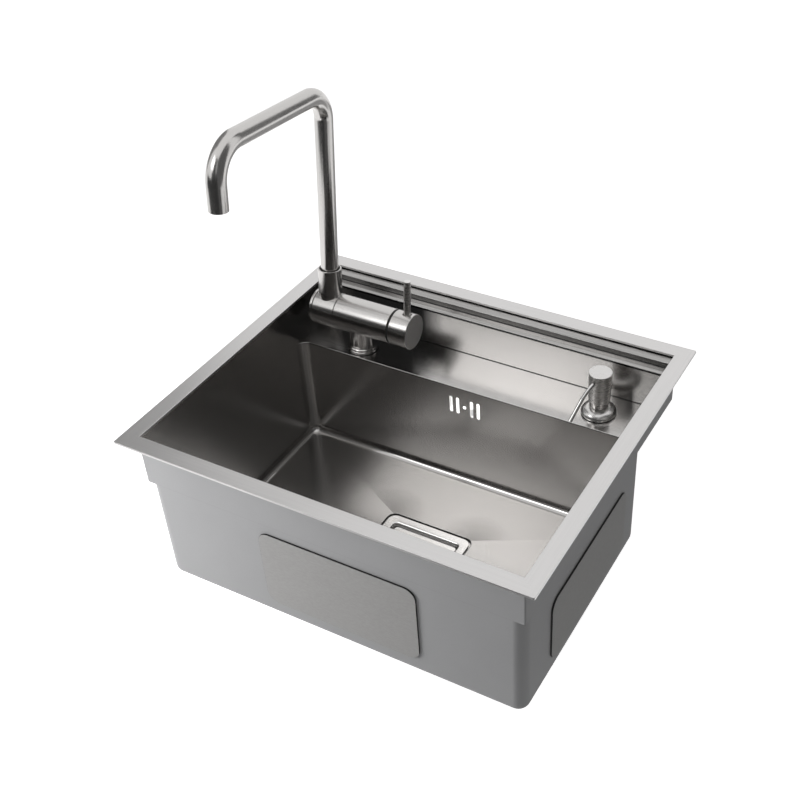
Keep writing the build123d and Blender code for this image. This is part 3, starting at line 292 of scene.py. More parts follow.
def brush(shader, place, streaks, colour, roughness, depth, swing=0.10):
    """Brushed steel: streaks and slow clouds swing its colour and gloss, and the streaks make
    its relief. A roughness that is a pattern already is kept as it is."""
    clouds = noise(place, (9.0, 9.0, 9.0), 3.0)
    dark = tuple(part * (1.0 - swing) for part in colour)
    light = tuple(min(1.0, part * (1.0 + swing)) for part in colour)
    brushed = shade_between(streaks * 0.6 + clouds * 0.4, dark, light)
    brushed.feed(shader, "Base Color")
    if not isinstance(roughness, Pattern):
        roughness = streaks * 0.10 + clouds * 0.05 + (roughness - 0.075)
    roughness.feed(shader, "Roughness")
    bumped(streaks, shader, depth)
    return brushed


satin = (0.65, 0.64, 0.635)
rim_steel, shader, place = finish("rim_steel", satin, 1.0, 0.34)
lengthwise_x = noise(place, (14.0, 900.0, 900.0))
lengthwise_y = noise(place, (900.0, 14.0, 900.0))
out_x = place.math("ABSOLUTE", along(place, 0))
out_y = place.math("ABSOLUTE", along(place, 1))
on_side = (out_x - out_y) > (rim_length - rim_depth) / 2
brushed = brush(shader, place, choose(on_side, lengthwise_x, lengthwise_y), satin, 0.34, 8e-6)
# Painted shadow: a dark line under the back of the opening, in place of the shadowed gap where the
# recess's top ledge meets the rim.
painted_gap_shadow = (0.010, 0.010, 0.010)
gap_shadow_width = 0.005
gap_shadow_top = 0.0006
depth_in = along(place, 1)
at_back = (depth_in > inside_y - gap_shadow_width) * (depth_in < inside_y + 0.0015)
in_gap_shadow = at_back * (along(place, 2) < gap_shadow_top)
shade_between(in_gap_shadow, brushed, painted_gap_shadow).feed(shader, "Base Color")

# Points nearer than a hair count as one, and a margin keeps a test clear of its limit.
hair = 1e-5
margin = 1e-4


def edges_where(piece, test):
    """In edit mode, select the edges of a piece whose two ends pass a test."""
    shape = bmesh.from_edit_mesh(piece.data)
    bpy.ops.mesh.select_mode(type="EDGE")
    bpy.ops.mesh.select_all(action="DESELECT")
    for edge in shape.edges:
        edge.select_set(bool(test(edge.verts[0].co, edge.verts[1].co)))
    bmesh.update_edit_mesh(piece.data)


def faces_where(piece, test):
    """In edit mode, select the faces of a piece whose middle and normal pass a test."""
    shape = bmesh.from_edit_mesh(piece.data)
    bpy.ops.mesh.select_mode(type="FACE")
    bpy.ops.mesh.select_all(action="DESELECT")
    for face in shape.faces:
        face.select_set(bool(test(face.calc_center_median(), face.normal)))
    bmesh.update_edit_mesh(piece.data)


def upright(one, other):
    """True for an edge that runs up and down."""
    return (one.xy - other.xy).length < hair


def take(piece):
    """Make a piece the only one selected and the active one."""
    bpy.ops.object.select_all(action="DESELECT")
    piece.select_set(True)
    bpy.context.view_layer.objects.active = piece


def modify(piece, kind, **settings):
    """Add a modifier to a piece and apply it."""
    take(piece)
    modifier = piece.modifiers.new(kind, kind)
    for name, value in settings.items():
        setattr(modifier, name, value)
    bpy.ops.object.modifier_apply(modifier=modifier.name)


def settle():
    """Put the place, turn and size of the selected piece into its mesh."""
    bpy.ops.object.transform_apply(location=True, rotation=True, scale=True)


def break_edges(piece, width):
    """Round the edges of a piece that turn by more than 35 degrees."""
    modify(piece, "BEVEL", width=width, segments=2, limit_method="ANGLE", angle_limit=radians(35))


def soften(piece, width=0.0):
    """Break the edges of a piece by a width, if any, and shade it smooth but for its flats."""
    take(piece)
    settle()
    if width:
        break_edges(piece, width)
    bpy.ops.object.shade_smooth_by_angle(angle=radians(50.0))
    modify(piece, "WEIGHTED_NORMAL", weight=90, keep_sharp=True)


def hand_over(piece, name, stands_for, body, slot, *materials):
    """Name a finished piece, give it its materials and let it stand for a CAD node."""
    piece.name = name
    piece.data.name = name
    for material in materials:
        piece.data.materials.append(material)
    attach(piece, body)
    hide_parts(stands_for)
    piece.select_set(False)


bpy.ops.mesh.primitive_plane_add(size=1, location=(0, 0, rim_thickness))
rim = bpy.context.object
rim.scale = (rim_length, rim_depth, 1.0)
settle()
bpy.ops.object.mode_set(mode="EDIT")
bpy.ops.mesh.inset(thickness=rim_width)
faces_where(rim, lambda middle, normal: middle.xy.length < 0.01)
bpy.ops.mesh.delete(type="FACE")
bpy.ops.object.mode_set(mode="OBJECT")
modify(rim, "SOLIDIFY", thickness=rim_thickness, offset=-1.0)
bpy.ops.object.mode_set(mode="EDIT")
edges_where(rim, lambda one, other: upright(one, other) and abs(one.x) > inside_x + margin)
bpy.ops.mesh.bevel(offset=rim_corner, segments=5, affect="EDGES")
bpy.ops.object.mode_set(mode="OBJECT")
soften(rim, 0.0005)
hand_over(rim, "rim", "rim_plate", "sink", "satin_steel", rim_steel)


# Side band: the low wall welded into the rim, satin inside and sprayed grey outside, with
# two small gussets in its front corners.
band_bottom = -0.0605
band_wall = 0.0026
band_corner = 0.002
bowl_corner = 0.0128
sheet = 0.0015
spray, shader, place = finish("grey_spray", (0.32, 0.32, 0.325), 0.0, 0.62)
grit = noise(place, (900.0, 900.0, 900.0), 3.0)
patches = noise(place, (14.0, 14.0, 14.0), 3.0)
sprayed = shade_between(grit * 0.5 + patches * 0.5, (0.29, 0.29, 0.295), (0.35, 0.35, 0.355))
# Painted shadow: a darker line round the bowl just below the band's lip.
height_up = along(place, 2)
painted_lip_shadow = (height_up < band_bottom + 0.0002) * (height_up > band_bottom - 0.0016)
shade_between(painted_lip_shadow * 0.35, sprayed, (0.10, 0.10, 0.10)).feed(shader, "Base Color")
shader.inputs["Specular IOR Level"].default_value = 0.3
(grit * 0.2 + 0.5).feed(shader, "Roughness")
bumped(grit, shader, 2.5e-5)

# Inside, the streaks run round the walls and along the bowl's floor, and the bend between
# them is glossier.
floor_edge = -0.2025
floor_bend = 0.010
wall_colour = (0.43, 0.42, 0.41)
wall_steel, shader, place = finish("wall_steel", wall_colour, 1.0, 0.20)
depth_in, height_up = along(place, 1), along(place, 2)
round_walls = noise(place, (12.0, 12.0, 800.0))
along_floor = noise(place, (12.0, 800.0, 12.0))
above_floor = height_up > floor_edge + 0.004
streaks = choose(above_floor, along_floor, round_walls)
in_bend = (height_up < floor_edge + floor_bend) * (height_up > floor_edge + 0.0003)
brushed = brush(shader, place, streaks, wall_colour, 0.21 - in_bend * 0.09, 5e-7)
# The floor's falls beside the drain get a paler painted sheen, and the ones before and behind it
# get painted shade towards the corners of its square recess.
drain_at = (0.0055, -0.049)
drain_half = 0.058
mitre = 0.51
shade_reach = 0.045
beside = place.math("ABSOLUTE", along(place, 0) - drain_at[0]) - drain_half
behind = place.math("ABSOLUTE", depth_in - drain_at[1]) - drain_half
on_side_fall = (beside * mitre) > behind
reach = place.math("SQRT", beside * beside + behind * behind)
painted_corner_shade = place.math("MAXIMUM", 1.0 - reach / shade_reach, 0.0) * (1.0 - on_side_fall)
fall_sheen_colour = shade_between(on_side_fall, (0.49, 0.48, 0.47), (0.525, 0.515, 0.505))
floor_painted_light = shade_between(painted_corner_shade * 0.6, fall_sheen_colour, (0.16, 0.155, 0.15))
inside_colour = shade_between(above_floor, floor_painted_light, brushed)
# Painted shadow: the same dark line on the band's inner back face, just under the rim.
back_gap_shadow = (height_up > -0.0012) * (depth_in > inside_y - gap_shadow_width)
shade_between(back_gap_shadow, inside_colour, painted_gap_shadow).feed(shader, "Base Color")


def block(size, centre, corner=0.0, segments=8, cornered=upright):
    """A box at a place. Its upright edges, or those that pass another test, are rounded."""
    bpy.ops.mesh.primitive_cube_add(size=1, location=centre)
    box = bpy.context.object
    box.scale = size
    settle()
    if corner:
        bpy.ops.object.mode_set(mode="EDIT")
        edges_where(box, cornered)
        bpy.ops.mesh.bevel(offset=corner, segments=segments, affect="EDGES")
        bpy.ops.object.mode_set(mode="OBJECT")
    return box


def rod(radius, start, end, sides=96):
    """A round bar from one point to another."""
    start, end = Vector(start), Vector(end)
    bpy.ops.mesh.primitive_cylinder_add(
        vertices=sides,
        radius=radius,
        depth=(end - start).length,
        location=(start + end) / 2,
        rotation=(end - start).to_track_quat("Z", "Y").to_euler(),
    )
    settle()
    return bpy.context.object


def combine(piece, other, operation):
    """Cut another shape out of a piece, or melt it in, and remove the other."""
    modify(piece, "BOOLEAN", object=other, operation=operation, solver="EXACT")
    bpy.data.objects.remove(other)


def drill(piece, radius, at, low, high, sides=96):
    """Cut an upright round hole through a piece between two heights."""
    combine(piece, rod(radius, (*at, low), (*at, high), sides), "DIFFERENCE")


def two_finishes(piece, main, second, test):
    """Give a piece two materials, the second on the faces whose middle and normal pass a test."""
    piece.data.materials.append(main)
    piece.data.materials.append(second)
    for face in piece.data.polygons:
        if test(face.center, face.normal):
            face.material_index = 1


def inside_band(middle, normal):
    """True for the inner faces of the band, above its gussets' undersides."""
    return (
        abs(middle.x) < inside_x + margin
        and abs(middle.y) < inside_y + margin
        and middle.z > band_bottom + margin
    )


band = block(
    (2 * (inside_x + band_wall), 2 * (inside_y + band_wall), -band_bottom),
    (0, 0, band_bottom / 2),
    band_corner,
    4,
)
combine(band, block((2 * inside_x, 2 * inside_y, 0.2), (0, 0, 0)), "DIFFERENCE")
for side in (-1, 1):
    gusset = block(
        (bowl_corner, bowl_corner, sheet),
        (
            side * (inside_x - bowl_corner / 2),
            bowl_corner / 2 - inside_y,
            band_bottom + sheet / 2,
        ),
    )
    round_at = (side * (inside_x - bowl_corner), bowl_corner - inside_y)
    drill(gusset, bowl_corner, round_at, -0.08, -0.04)
    combine(band, gusset, "UNION")
two_finishes(band, spray, wall_steel, inside_band)
soften(band)
hand_over(band, "band", "side_band", "sink", "satin_steel")


# Recess: one satin sheet folded along the back into a floor, a back wall and two ledges, and
# welded into the band. Its front edge rolls over into the bowl.
deck_z = -0.059
deck_start, deck_back = 0.089, 0.169
bowl_back = 0.102
ledge_low, ledge_high = -0.008, -0.001
ledge_width = 0.0127
riser_lean = 0.0006
recess_colour = (0.53, 0.52, 0.51)
recess_steel, shader, place = finish("recess_steel", recess_colour, 1.0, 0.21)
brushed = brush(shader, place, noise(place, (12.0, 900.0, 900.0)), recess_colour, 0.21, 1.2e-6)
depth_in, height_up = along(place, 1), along(place, 2)
# Painted shade in dark lines: in the fold behind the deck, as a shadow under the lower ledge, in
# the fold behind that ledge, and on the lower half of the rolled lip.
fold_below = (depth_in > deck_back - 0.0009) * (height_up < deck_z + 0.0010)
under_ledge = (depth_in < deck_back + 0.0004) * (height_up > ledge_low - 0.0032)
under_ledge = under_ledge * (height_up < ledge_low - 0.0008)
fold_above = (depth_in > deck_back + ledge_width - 0.0011) * (height_up < ledge_low + 0.0010)
lip_line = (depth_in < bowl_back + 0.002) * (height_up < deck_z - 0.0005)
painted_fold_shade = fold_below + under_ledge + fold_above + lip_line
# The ledges get painted shade in long streaks, in place of their dark reflections.
ledge_streaks = noise(place, (6.0, 700.0, 700.0), 3.0) * (height_up > ledge_low - 0.0005)
streaky_ledge_shade = shade_between(ledge_streaks * 0.8, brushed, (0.15, 0.147, 0.144))
shade_between(painted_fold_shade, streaky_ledge_shade, (0.05, 0.05, 0.05)).feed(shader, "Base Color")


def thicken(piece, thickness, faces_out, **settings):
    """Give a surface its thickness behind its faces, or before them where they point inwards."""
    modify(piece, "SOLIDIFY", thickness=thickness, offset=-1.0 if faces_out else 1.0, **settings)


bpy.ops.mesh.primitive_plane_add(size=1, location=(0, (deck_back + deck_start) / 2, deck_z))
recess = bpy.context.object
recess.scale = (2 * inside_x, deck_back - deck_start, 1.0)
settle()
bpy.ops.object.mode_set(mode="EDIT")
edges_where(recess, lambda one, other: min(one.y, other.y) > deck_back - margin)
fold_round = 0.0008
back_outline = (
    (deck_back, deck_z),
    (deck_back, ledge_low),
    (deck_back + ledge_width, ledge_low),
    (deck_back + ledge_width + riser_lean, ledge_high),
    (deck_back + ledge_width * 2 + riser_lean, ledge_high),
)
for (y, z), (next_y, next_z) in zip(back_outline, back_outline[1:]):
    rise = (0, next_y - y, next_z - z)
    bpy.ops.mesh.extrude_region_move(TRANSFORM_OT_translate={"value": rise})


def on_fold(one, other):
    """True for an edge that runs from side to side where the recess's sheet is folded."""
    folds = [Vector(line) for line in back_outline[:-1]]
    runs_across = (one.yz - other.yz).length < hair
    return runs_across and any((one.yz - fold).length < hair for fold in folds)


edges_where(recess, on_fold)
bpy.ops.mesh.bevel(offset=fold_round, segments=4, affect="EDGES")
bpy.ops.mesh.select_all(action="SELECT")
bpy.ops.mesh.normals_make_consistent(inside=False)
bpy.ops.object.mode_set(mode="OBJECT")
faces_up = max(recess.data.polygons, key=lambda face: face.area).normal.z > 0
thicken(recess, sheet, faces_up)
bowl_middle = (bowl_back - inside_y) / 2
bowl_length = bowl_back + inside_y
combine(
    recess,
    block((2 * inside_x, bowl_length, 0.1), (0, bowl_middle, -0.06), bowl_corner, 12),
    "DIFFERENCE",
)


def on_lip(one, other):
    """True for an edge of the recess's floor along the bowl's opening."""
    return (
        min(one.z, other.z) > deck_z - hair
        and max(one.y, other.y) < bowl_back + margin
        and max(abs(one.x), abs(other.x)) < inside_x - hair
    )


lip_round = 0.0007
bpy.ops.object.mode_set(mode="EDIT")
edges_where(recess, on_lip)
bpy.ops.mesh.bevel(offset=lip_round, segments=4, affect="EDGES")
bpy.ops.object.mode_set(mode="OBJECT")
tap_at = (-0.1516, 0.1236)
pump_at = (0.1653, 0.1336)
for at, hole_radius in ((tap_at, 0.0165), (pump_at, 0.0135)):
    drill(recess, hole_radius, at, -0.08, -0.05, 48)
soften(recess)
hand_over(recess, "recess_sheet", "recess", "sink", "satin_steel", recess_steel)


# Bowl: a folded and welded box of 1.2 mm steel, brushed inside and sprayed grey outside. Its
# floor is pressed to fall from its four sides to the square recess of the drain.
floor_low = -0.2045
drain_bed = -0.2075
bowl_sheet = 0.0012


def square_outline(side, corner, height):
    """A flat square line with round corners about the drain's middle."""
    bpy.ops.mesh.primitive_plane_add(size=side, location=(*drain_at, height))
    outline = bpy.context.object
    bpy.ops.object.mode_set(mode="EDIT")
    bpy.ops.mesh.bevel(offset=corner, segments=10, affect="VERTICES")
    bpy.ops.mesh.delete(type="ONLY_FACE")
    bpy.ops.object.mode_set(mode="OBJECT")
    settle()
    return outline


def bridge_on(piece, outline, is_open):
    """Join an outline to a piece and bridge it with the open edge whose points pass a test."""
    take(piece)
    outline.select_set(True)
    bpy.ops.object.join()
    bpy.ops.object.mode_set(mode="EDIT")
    bpy.ops.mesh.select_mode(type="EDGE")
    bpy.ops.mesh.select_all(action="DESELECT")
    shape = bmesh.from_edit_mesh(piece.data)
    for edge in shape.edges:
        middle = piece.matrix_world @ ((edge.verts[0].co + edge.verts[1].co) / 2)
        edge.select_set(bool(is_open(middle) and (edge.is_boundary or edge.is_wire)))
    bmesh.update_edit_mesh(piece.data)
    bpy.ops.mesh.bridge_edge_loops()
    bpy.ops.object.mode_set(mode="OBJECT")


def under_walls(spot):
    """True for a point of the bowl's open edge below its walls."""
    return spot.z < band_bottom - 0.01


bowl = block(
    (2 * inside_x, bowl_length, band_bottom - floor_edge),
    (0, bowl_middle, (band_bottom + floor_edge) / 2),
    bowl_corner,
    10,
)
bpy.ops.object.mode_set(mode="EDIT")
faces_where(bowl, lambda middle, normal: middle.z > band_bottom - margin)
bpy.ops.mesh.delete(type="FACE")
edges_where(bowl, lambda one, other: max(one.z, other.z) < floor_edge + margin)
bpy.ops.mesh.bevel(offset=floor_bend, segments=8, affect="EDGES")


def in_floor(middle, normal):
    """True for the flat floor of the bowl, inside the bend at its edge."""
    return middle.z < floor_edge + margin and abs(normal.z) > 0.9999


faces_where(bowl, in_floor)
bpy.ops.mesh.delete(type="ONLY_FACE")
bpy.ops.object.mode_set(mode="OBJECT")
for side, corner, height in (
    (2 * drain_half, 0.0110, floor_low),
    (0.1150, 0.0105, drain_bed),
    (0.0924, 0.0050, drain_bed),
):
    bridge_on(bowl, square_outline(side, corner, height), under_walls)
bpy.ops.object.mode_set(mode="EDIT")
bpy.ops.mesh.select_mode(type="VERT")
bpy.ops.mesh.select_all(action="SELECT")
bpy.ops.mesh.remove_doubles(threshold=1e-6)
edges_where(bowl, lambda one, other: max(abs(one.z - floor_low), abs(other.z - floor_low)) < hair)
bpy.ops.mesh.bevel(offset=fold_round, segments=3, affect="EDGES")
bpy.ops.mesh.select_all(action="SELECT")
bpy.ops.mesh.normals_make_consistent(inside=True)
bpy.ops.object.mode_set(mode="OBJECT")
bowl.data.materials.append(wall_steel)
bowl.data.materials.append(spray)
inwards = max(bowl.data.polygons, key=lambda face: face.center.y)
faces_in = inwards.normal.y < 0
thicken(bowl, bowl_sheet, faces_in, material_offset=1, use_even_offset=True)


def across(one, other):
    """True for an edge that runs from front to back."""
    return (one.xz - other.xz).length < hair


slots_x, slots_z = 0.004, -0.08675
slot_size = (0.0044, 0.02, 0.0245)
slot_corner = 0.00219
slot_steps = (-0.0186, -0.0096, 0.0096, 0.0186)
for step in slot_steps:
    slot = block(slot_size, (slots_x + step, bowl_back, slots_z), slot_corner, cornered=across)
    combine(bowl, slot, "DIFFERENCE")
peg_radius = 0.00225
peg_hole = ((slots_x, bowl_back - 0.01, slots_z), (slots_x, bowl_back + 0.01, slots_z))
combine(bowl, rod(peg_radius, *peg_hole, 32), "DIFFERENCE")
soften(bowl)
hand_over(bowl, "bowl_box", "bowl", "sink", "satin_steel")


# Sound pads: rubber sheets with rounded corners, glued on before the outside was sprayed, so
# that their faces are grey and their cut edges black.
pad_face, shader, place = finish("pad_face", (0.31, 0.305, 0.30), 0.0, 0.7)
pad_grain = noise(place, (260.0, 260.0, 1100.0), 4.0)
pad_weave = noise(place, (700.0, 700.0, 500.0), 2.0)
shade_between(pad_grain, (0.26, 0.255, 0.25), (0.36, 0.355, 0.35)).feed(shader, "Base Color")
bumped(pad_grain * 0.6 + pad_weave * 0.4, shader, 9e-5)
pad_edge, shader, place = finish("pad_edge", (0.012, 0.012, 0.012), 0.0, 0.6)
edge_grain = noise(place, (500.0, 500.0, 500.0), 3.0)
shade_between(edge_grain, (0.008, 0.008, 0.008), (0.02, 0.02, 0.02)).feed(shader, "Base Color")

pad_thickness = 0.0021
pad_corner = 0.014
front_size, side_size = (0.195, pad_thickness, 0.1055), (pad_thickness, 0.195, 0.090)
pad_x = inside_x + bowl_sheet + pad_thickness / 2
pad_y = inside_y + bowl_sheet + pad_thickness / 2
for name, stands_for, size, centre in (
    ("pad_front", "front_sound_pad", front_size, (0.0115, -pad_y, -0.12625)),
    ("pad_right", "right_sound_pad", side_size, (pad_x, -0.038, -0.136)),
    ("pad_left", "left_sound_pad", side_size, (-pad_x, -0.038, -0.136)),
):
    thin = size.index(pad_thickness)
    pad = block(
        size,
        centre,
        pad_corner,
        12,
        lambda one, other: abs(one[thin] - other[thin]) > pad_thickness / 2,
    )
    soften(pad, 0.0002)
    two_finishes(pad, pad_face, pad_edge, lambda middle, normal: abs(normal[thin]) < 0.98)
    hand_over(pad, name, stands_for, "sink", "pad_rubber")


def dress(material, slot, *names):
    """Give CAD nodes whose shape is right a finer material."""
    for name in names:
        nodes[name].data.materials.clear()
        nodes[name].data.materials.append(material)


dress(pad_face, "pad_rubber", "back_sound_pad", "floor_sound_pads")


# Overflow: a frosted white plastic housing pressed on the back of the bowl over a black rubber
# gasket, with a peg that snaps into the hole between the slots.
def moulded(name, dark, light, roughness, depth=1.5e-5):
    """Moulded plastic or rubber: faint clouds in its colour and a fine orange-peel skin."""
    material, shader, place = finish(name, light, 0.0, roughness)
    clouds = noise(place, (60.0, 60.0, 60.0), 4.0)
    skin = noise(place, (1400.0, 1400.0, 1400.0), 2.0)
    shade_between(clouds * 0.7 + skin * 0.3, dark, light).feed(shader, "Base Color")
    (skin * 0.16 + (roughness - 0.08)).feed(shader, "Roughness")
    bumped(skin, shader, depth)
    return material


black_rubber = moulded("black_rubber", (0.010, 0.010, 0.010), (0.022, 0.022, 0.022), 0.66, 3e-5)
dress(black_rubber, "black_rubber", "overflow_gasket")
frosted_plastic = moulded("frosted_plastic", (0.96, 0.96, 0.95), (1.0, 1.0, 0.99), 0.45)
frosted_shader = frosted_plastic.node_tree.nodes["Principled BSDF"]
frosted_shader.inputs["Transmission Weight"].default_value = 0.6
frosted_shader.inputs["Emission Strength"].default_value = 0.65
# Painted glow: the housing's wall that shows behind the slots glows white.
housing_wall = 0.1255
glow_half_x, glow_half_z = 0.025, 0.018
place = own_place(frosted_plastic)
off_x = place.math("ABSOLUTE", along(place, 0) - slots_x)
off_z = place.math("ABSOLUTE", along(place, 2) - slots_z)
glow_patch = (along(place, 1) < housing_wall) * (off_x < glow_half_x) * (off_z < glow_half_z)
painted_glow = shade_between(glow_patch, (0.0, 0.0, 0.0), (1.0, 1.0, 1.0))
painted_glow.feed(frosted_shader, "Emission Color")
dress(frosted_plastic, "white_plastic", "overflow_housing")


# Drain frame: the square steel plate seen in the bowl's floor, pressed down into a square
# well and a round cup with outlet holes. Black seals sit above and below the bowl's floor.
drain_colour = (0.82, 0.81, 0.80)
drain_steel, shader, place = finish("drain_steel", drain_colour, 1.0, 0.24)
brush(shader, place, noise(place, (10.0, 900.0, 900.0)), drain_colour, 0.24, 4e-6)


def nearer_than(reach):
    """A test for points nearer to the drain's middle than a reach, both sideways and forwards."""
    middle = Vector(drain_at)
    return lambda spot: max(abs(spot.x - middle.x), abs(spot.y - middle.y)) < reach


frame_top = -0.205
well_z = -0.217
cup_z = -0.252
cup_radius = 0.036
open_side = 0.1108
drain_plate = square_outline(open_side, 0.0097, frame_top)
for side, corner, height in (
    (0.0930, 0.0062, frame_top),
    (0.0908, 0.0052, frame_top - 0.0005),
    (0.0890, 0.0045, frame_top - 0.0014),
    (0.0874, 0.0042, frame_top - 0.0032),
    (0.0864, 0.0040, frame_top - 0.0050),
    (0.0860, 0.0040, well_z),
):
    outline = square_outline(side, corner, height)
    bridge_on(drain_plate, outline, nearer_than(open_side / 2 + 0.001))
    open_side = side
for height in (well_z, cup_z):
    bpy.ops.mesh.primitive_circle_add(vertices=88, radius=cup_radius, location=(*drain_at, height))
    bridge_on(drain_plate, bpy.context.object, nearer_than(open_side / 2 + 0.001))
bpy.ops.object.mode_set(mode="EDIT")
edges_where(drain_plate, lambda one, other: max(one.z, other.z) < cup_z + hair)
bpy.ops.mesh.edge_face_add()
bpy.ops.mesh.select_all(action="SELECT")
bpy.ops.mesh.normals_make_consistent(inside=False)
bpy.ops.object.mode_set(mode="OBJECT")
faces_up = max(drain_plate.data.polygons, key=lambda face: face.center.z).normal.z > 0
thicken(drain_plate, sheet, faces_up)
outlet_ring = 0.0175
outlet_radius = 0.004
for turn in range(8):
    angle = radians(45.0 * turn)
    hole_at = (drain_at[0] + outlet_ring * cos(angle), drain_at[1] + outlet_ring * sin(angle))
    drill(drain_plate, outlet_radius, hole_at, cup_z - 0.01, cup_z + 0.01, 24)
soften(drain_plate, 0.0004)
hand_over(drain_plate, "drain_plate", "drain_frame", "sink", "bright_steel", drain_steel)

dark_plastic = moulded("dark_plastic", (0.008, 0.008, 0.008), (0.018, 0.018, 0.018), 0.55)
dress(dark_plastic, "black_plastic", "drain_body")
dress(black_rubber, "black_rubber", "drain_upper_seal", "drain_lower_seal")
dress(drain_steel, "bright_steel", "drain_screw")


# Basket strainer with its rubber stopper ring, and the square cover plate that stands over
# them on four feet welded under its corners.
dress(drain_steel, "bright_steel", "strainer_basket")
dress(black_rubber, "black_rubber", "stopper_ring")
cover_side = 0.0846
cover_corner = 0.004
cover_top = -0.210
cover = block(
    (cover_side, cover_side, sheet), (*drain_at, cover_top - sheet / 2), cover_corner, 10
)
foot_out = 0.0355
foot_radius = 0.003
for step_x in (-foot_out, foot_out):
    for step_y in (-foot_out, foot_out):
        foot_at = (drain_at[0] + step_x, drain_at[1] + step_y)
        foot = rod(foot_radius, (*foot_at, well_z), (*foot_at, cover_top - 0.0008), 32)
        combine(cover, foot, "UNION")
soften(cover, 0.0004)
hand_over(cover, "cover_plate", "drain_cover", "cover", "bright_steel", drain_steel)


# Tap base: a ring turned from steel with a groove round its middle, on a thin rubber seal.
# Everything on the tap is turned steel with a satin finish that runs round each piece.
tap_colour = (0.57, 0.557, 0.545)


def turned_steel(name, stretch, roughness=0.20, colour=tap_colour):
    """Satin turned steel; stretch gives its streaks' waves per metre along each axis."""
    material, shader, place = finish(name, colour, 1.0, roughness)
    brush(shader, place, noise(place, stretch), colour, roughness, 1e-6, 0.06)
    return material


round_z_steel = turned_steel("round_z_steel", (40.0, 40.0, 1800.0))


def turned(profile, sides=96):
    """A turned piece: a circle drawn through radii and heights. A profile that comes back to
    its start makes a ring, and any other is closed at both ends."""
    radius, height = profile[0]
    bpy.ops.mesh.primitive_circle_add(vertices=sides, radius=radius, location=(0, 0, height))
    piece = bpy.context.object
    settle()
    bpy.ops.object.mode_set(mode="EDIT")
    bpy.ops.mesh.select_mode(type="EDGE")
    bpy.ops.mesh.select_all(action="SELECT")
    for next_radius, next_height in profile[1:]:
        rise = (0, 0, next_height - height)
        bpy.ops.mesh.extrude_region_move(TRANSFORM_OT_translate={"value": rise})
        spread = next_radius / radius
        bpy.ops.transform.resize(value=(spread, spread, 1), center_override=(0, 0, 0))
        radius, height = next_radius, next_height
    bpy.ops.mesh.select_all(action="SELECT")
    bpy.ops.mesh.remove_doubles(threshold=1e-6)
    bpy.ops.mesh.fill_holes(sides=0)
    bpy.ops.mesh.select_all(action="SELECT")
    bpy.ops.mesh.normals_make_consistent(inside=False)
    bpy.ops.object.mode_set(mode="OBJECT")
    return piece


def stand(piece, placement):
    """Turn and move a piece to its place, which stays in its mesh."""
    piece.matrix_world = placement
    take(piece)
    settle()


ring_bore = 0.0143
ring_foot, ring_top = 0.0010, 0.0080
base_ring = turned(
    (
        (ring_bore, ring_foot),
        (0.0190, ring_foot),
        (0.0190, 0.0037),
        (0.0178, 0.0045),
        (0.0184, 0.0051),
        (0.0184, 0.0070),
        (0.0172, ring_top),
        (ring_bore, ring_top),
        (ring_bore, ring_foot),
    )
)
stand(base_ring, Matrix.Translation((*tap_at, deck_z)))
soften(base_ring, 0.00015)
hand_over(base_ring, "base_ring", "tap_base_ring", "sink", "tap_steel", round_z_steel)
dress(black_rubber, "black_rubber", "tap_base_seal")


# Tap body: a barrel that lies along the recess on a short column, cast in one and turned
# outside. A thin black plastic ring parts it from the handle.
round_x_steel = turned_steel("round_x_steel", (1800.0, 40.0, 40.0))
axis_z = -0.0125
barrel_radius = 0.02225
barrel_left, barrel_right = -0.1787, -0.1026
column_radius = 0.0155
column_foot = deck_z + ring_top
along_barrel = Matrix.Translation((0, tap_at[1], axis_z)) @ Matrix.Rotation(radians(90), 4, "Y")
barrel = turned(((barrel_radius, barrel_left), (barrel_radius, barrel_right)), 128)
stand(barrel, along_barrel)
break_edges(barrel, 0.0003)
combine(barrel, rod(column_radius, (*tap_at, column_foot), (*tap_at, axis_z)), "UNION")
soften(barrel)
hand_over(barrel, "barrel", "tap_body", "sink", "tap_steel", round_x_steel)
dress(dark_plastic, "black_plastic", "black_ring")


# Handle: a hollow turned cap on the cartridge's spindle, with a round lever pin screwed into
# a countersunk hole in it. The lever leans back.
handle_colour = (0.74, 0.73, 0.72)
end_steel = turned_steel("end_steel", (40.0, 900.0, 900.0), 0.42, handle_colour)
lever_steel = turned_steel("lever_steel", (40.0, 40.0, 1800.0), 0.28, handle_colour)
lean = 6.5


def leaning(x):
    """A placement on the barrel's axis, with up leant back."""
    return Matrix.Translation((x, tap_at[1], axis_z)) @ Matrix.Rotation(-radians(lean), 4, "X")


cap_left, cap_right = -0.0997, -0.0750
cap = turned(((barrel_radius, cap_left), (barrel_radius, cap_right)), 128)
stand(cap, along_barrel)
break_edges(cap, 0.0005)
lever_place = leaning(-0.0845)
lever_foot, lever_top = 0.0062, 0.0660
pin_hole, countersink = 0.0045, 0.0066
lever_hole = turned(
    ((pin_hole, lever_foot), (pin_hole, 0.02005), (countersink, 0.02255), (countersink, 0.0300)), 48
)
stand(lever_hole, lever_place)
combine(cap, lever_hole, "DIFFERENCE")
soften(cap)
two_finishes(cap, round_x_steel, end_steel, lambda middle, normal: middle.x > cap_right - 5e-5)
hand_over(cap, "cap", "handle_cap", "handle", "tap_steel")

lever_radius = 0.0043
lever = turned(((lever_radius, lever_foot), (lever_radius, lever_top)), 48)
stand(lever, lever_place)
soften(lever, 0.0006)
hand_over(lever, "lever", "lever_pin", "handle", "tap_steel", lever_steel)
dress(drain_steel, "bright_steel", "handle_grub_screw")


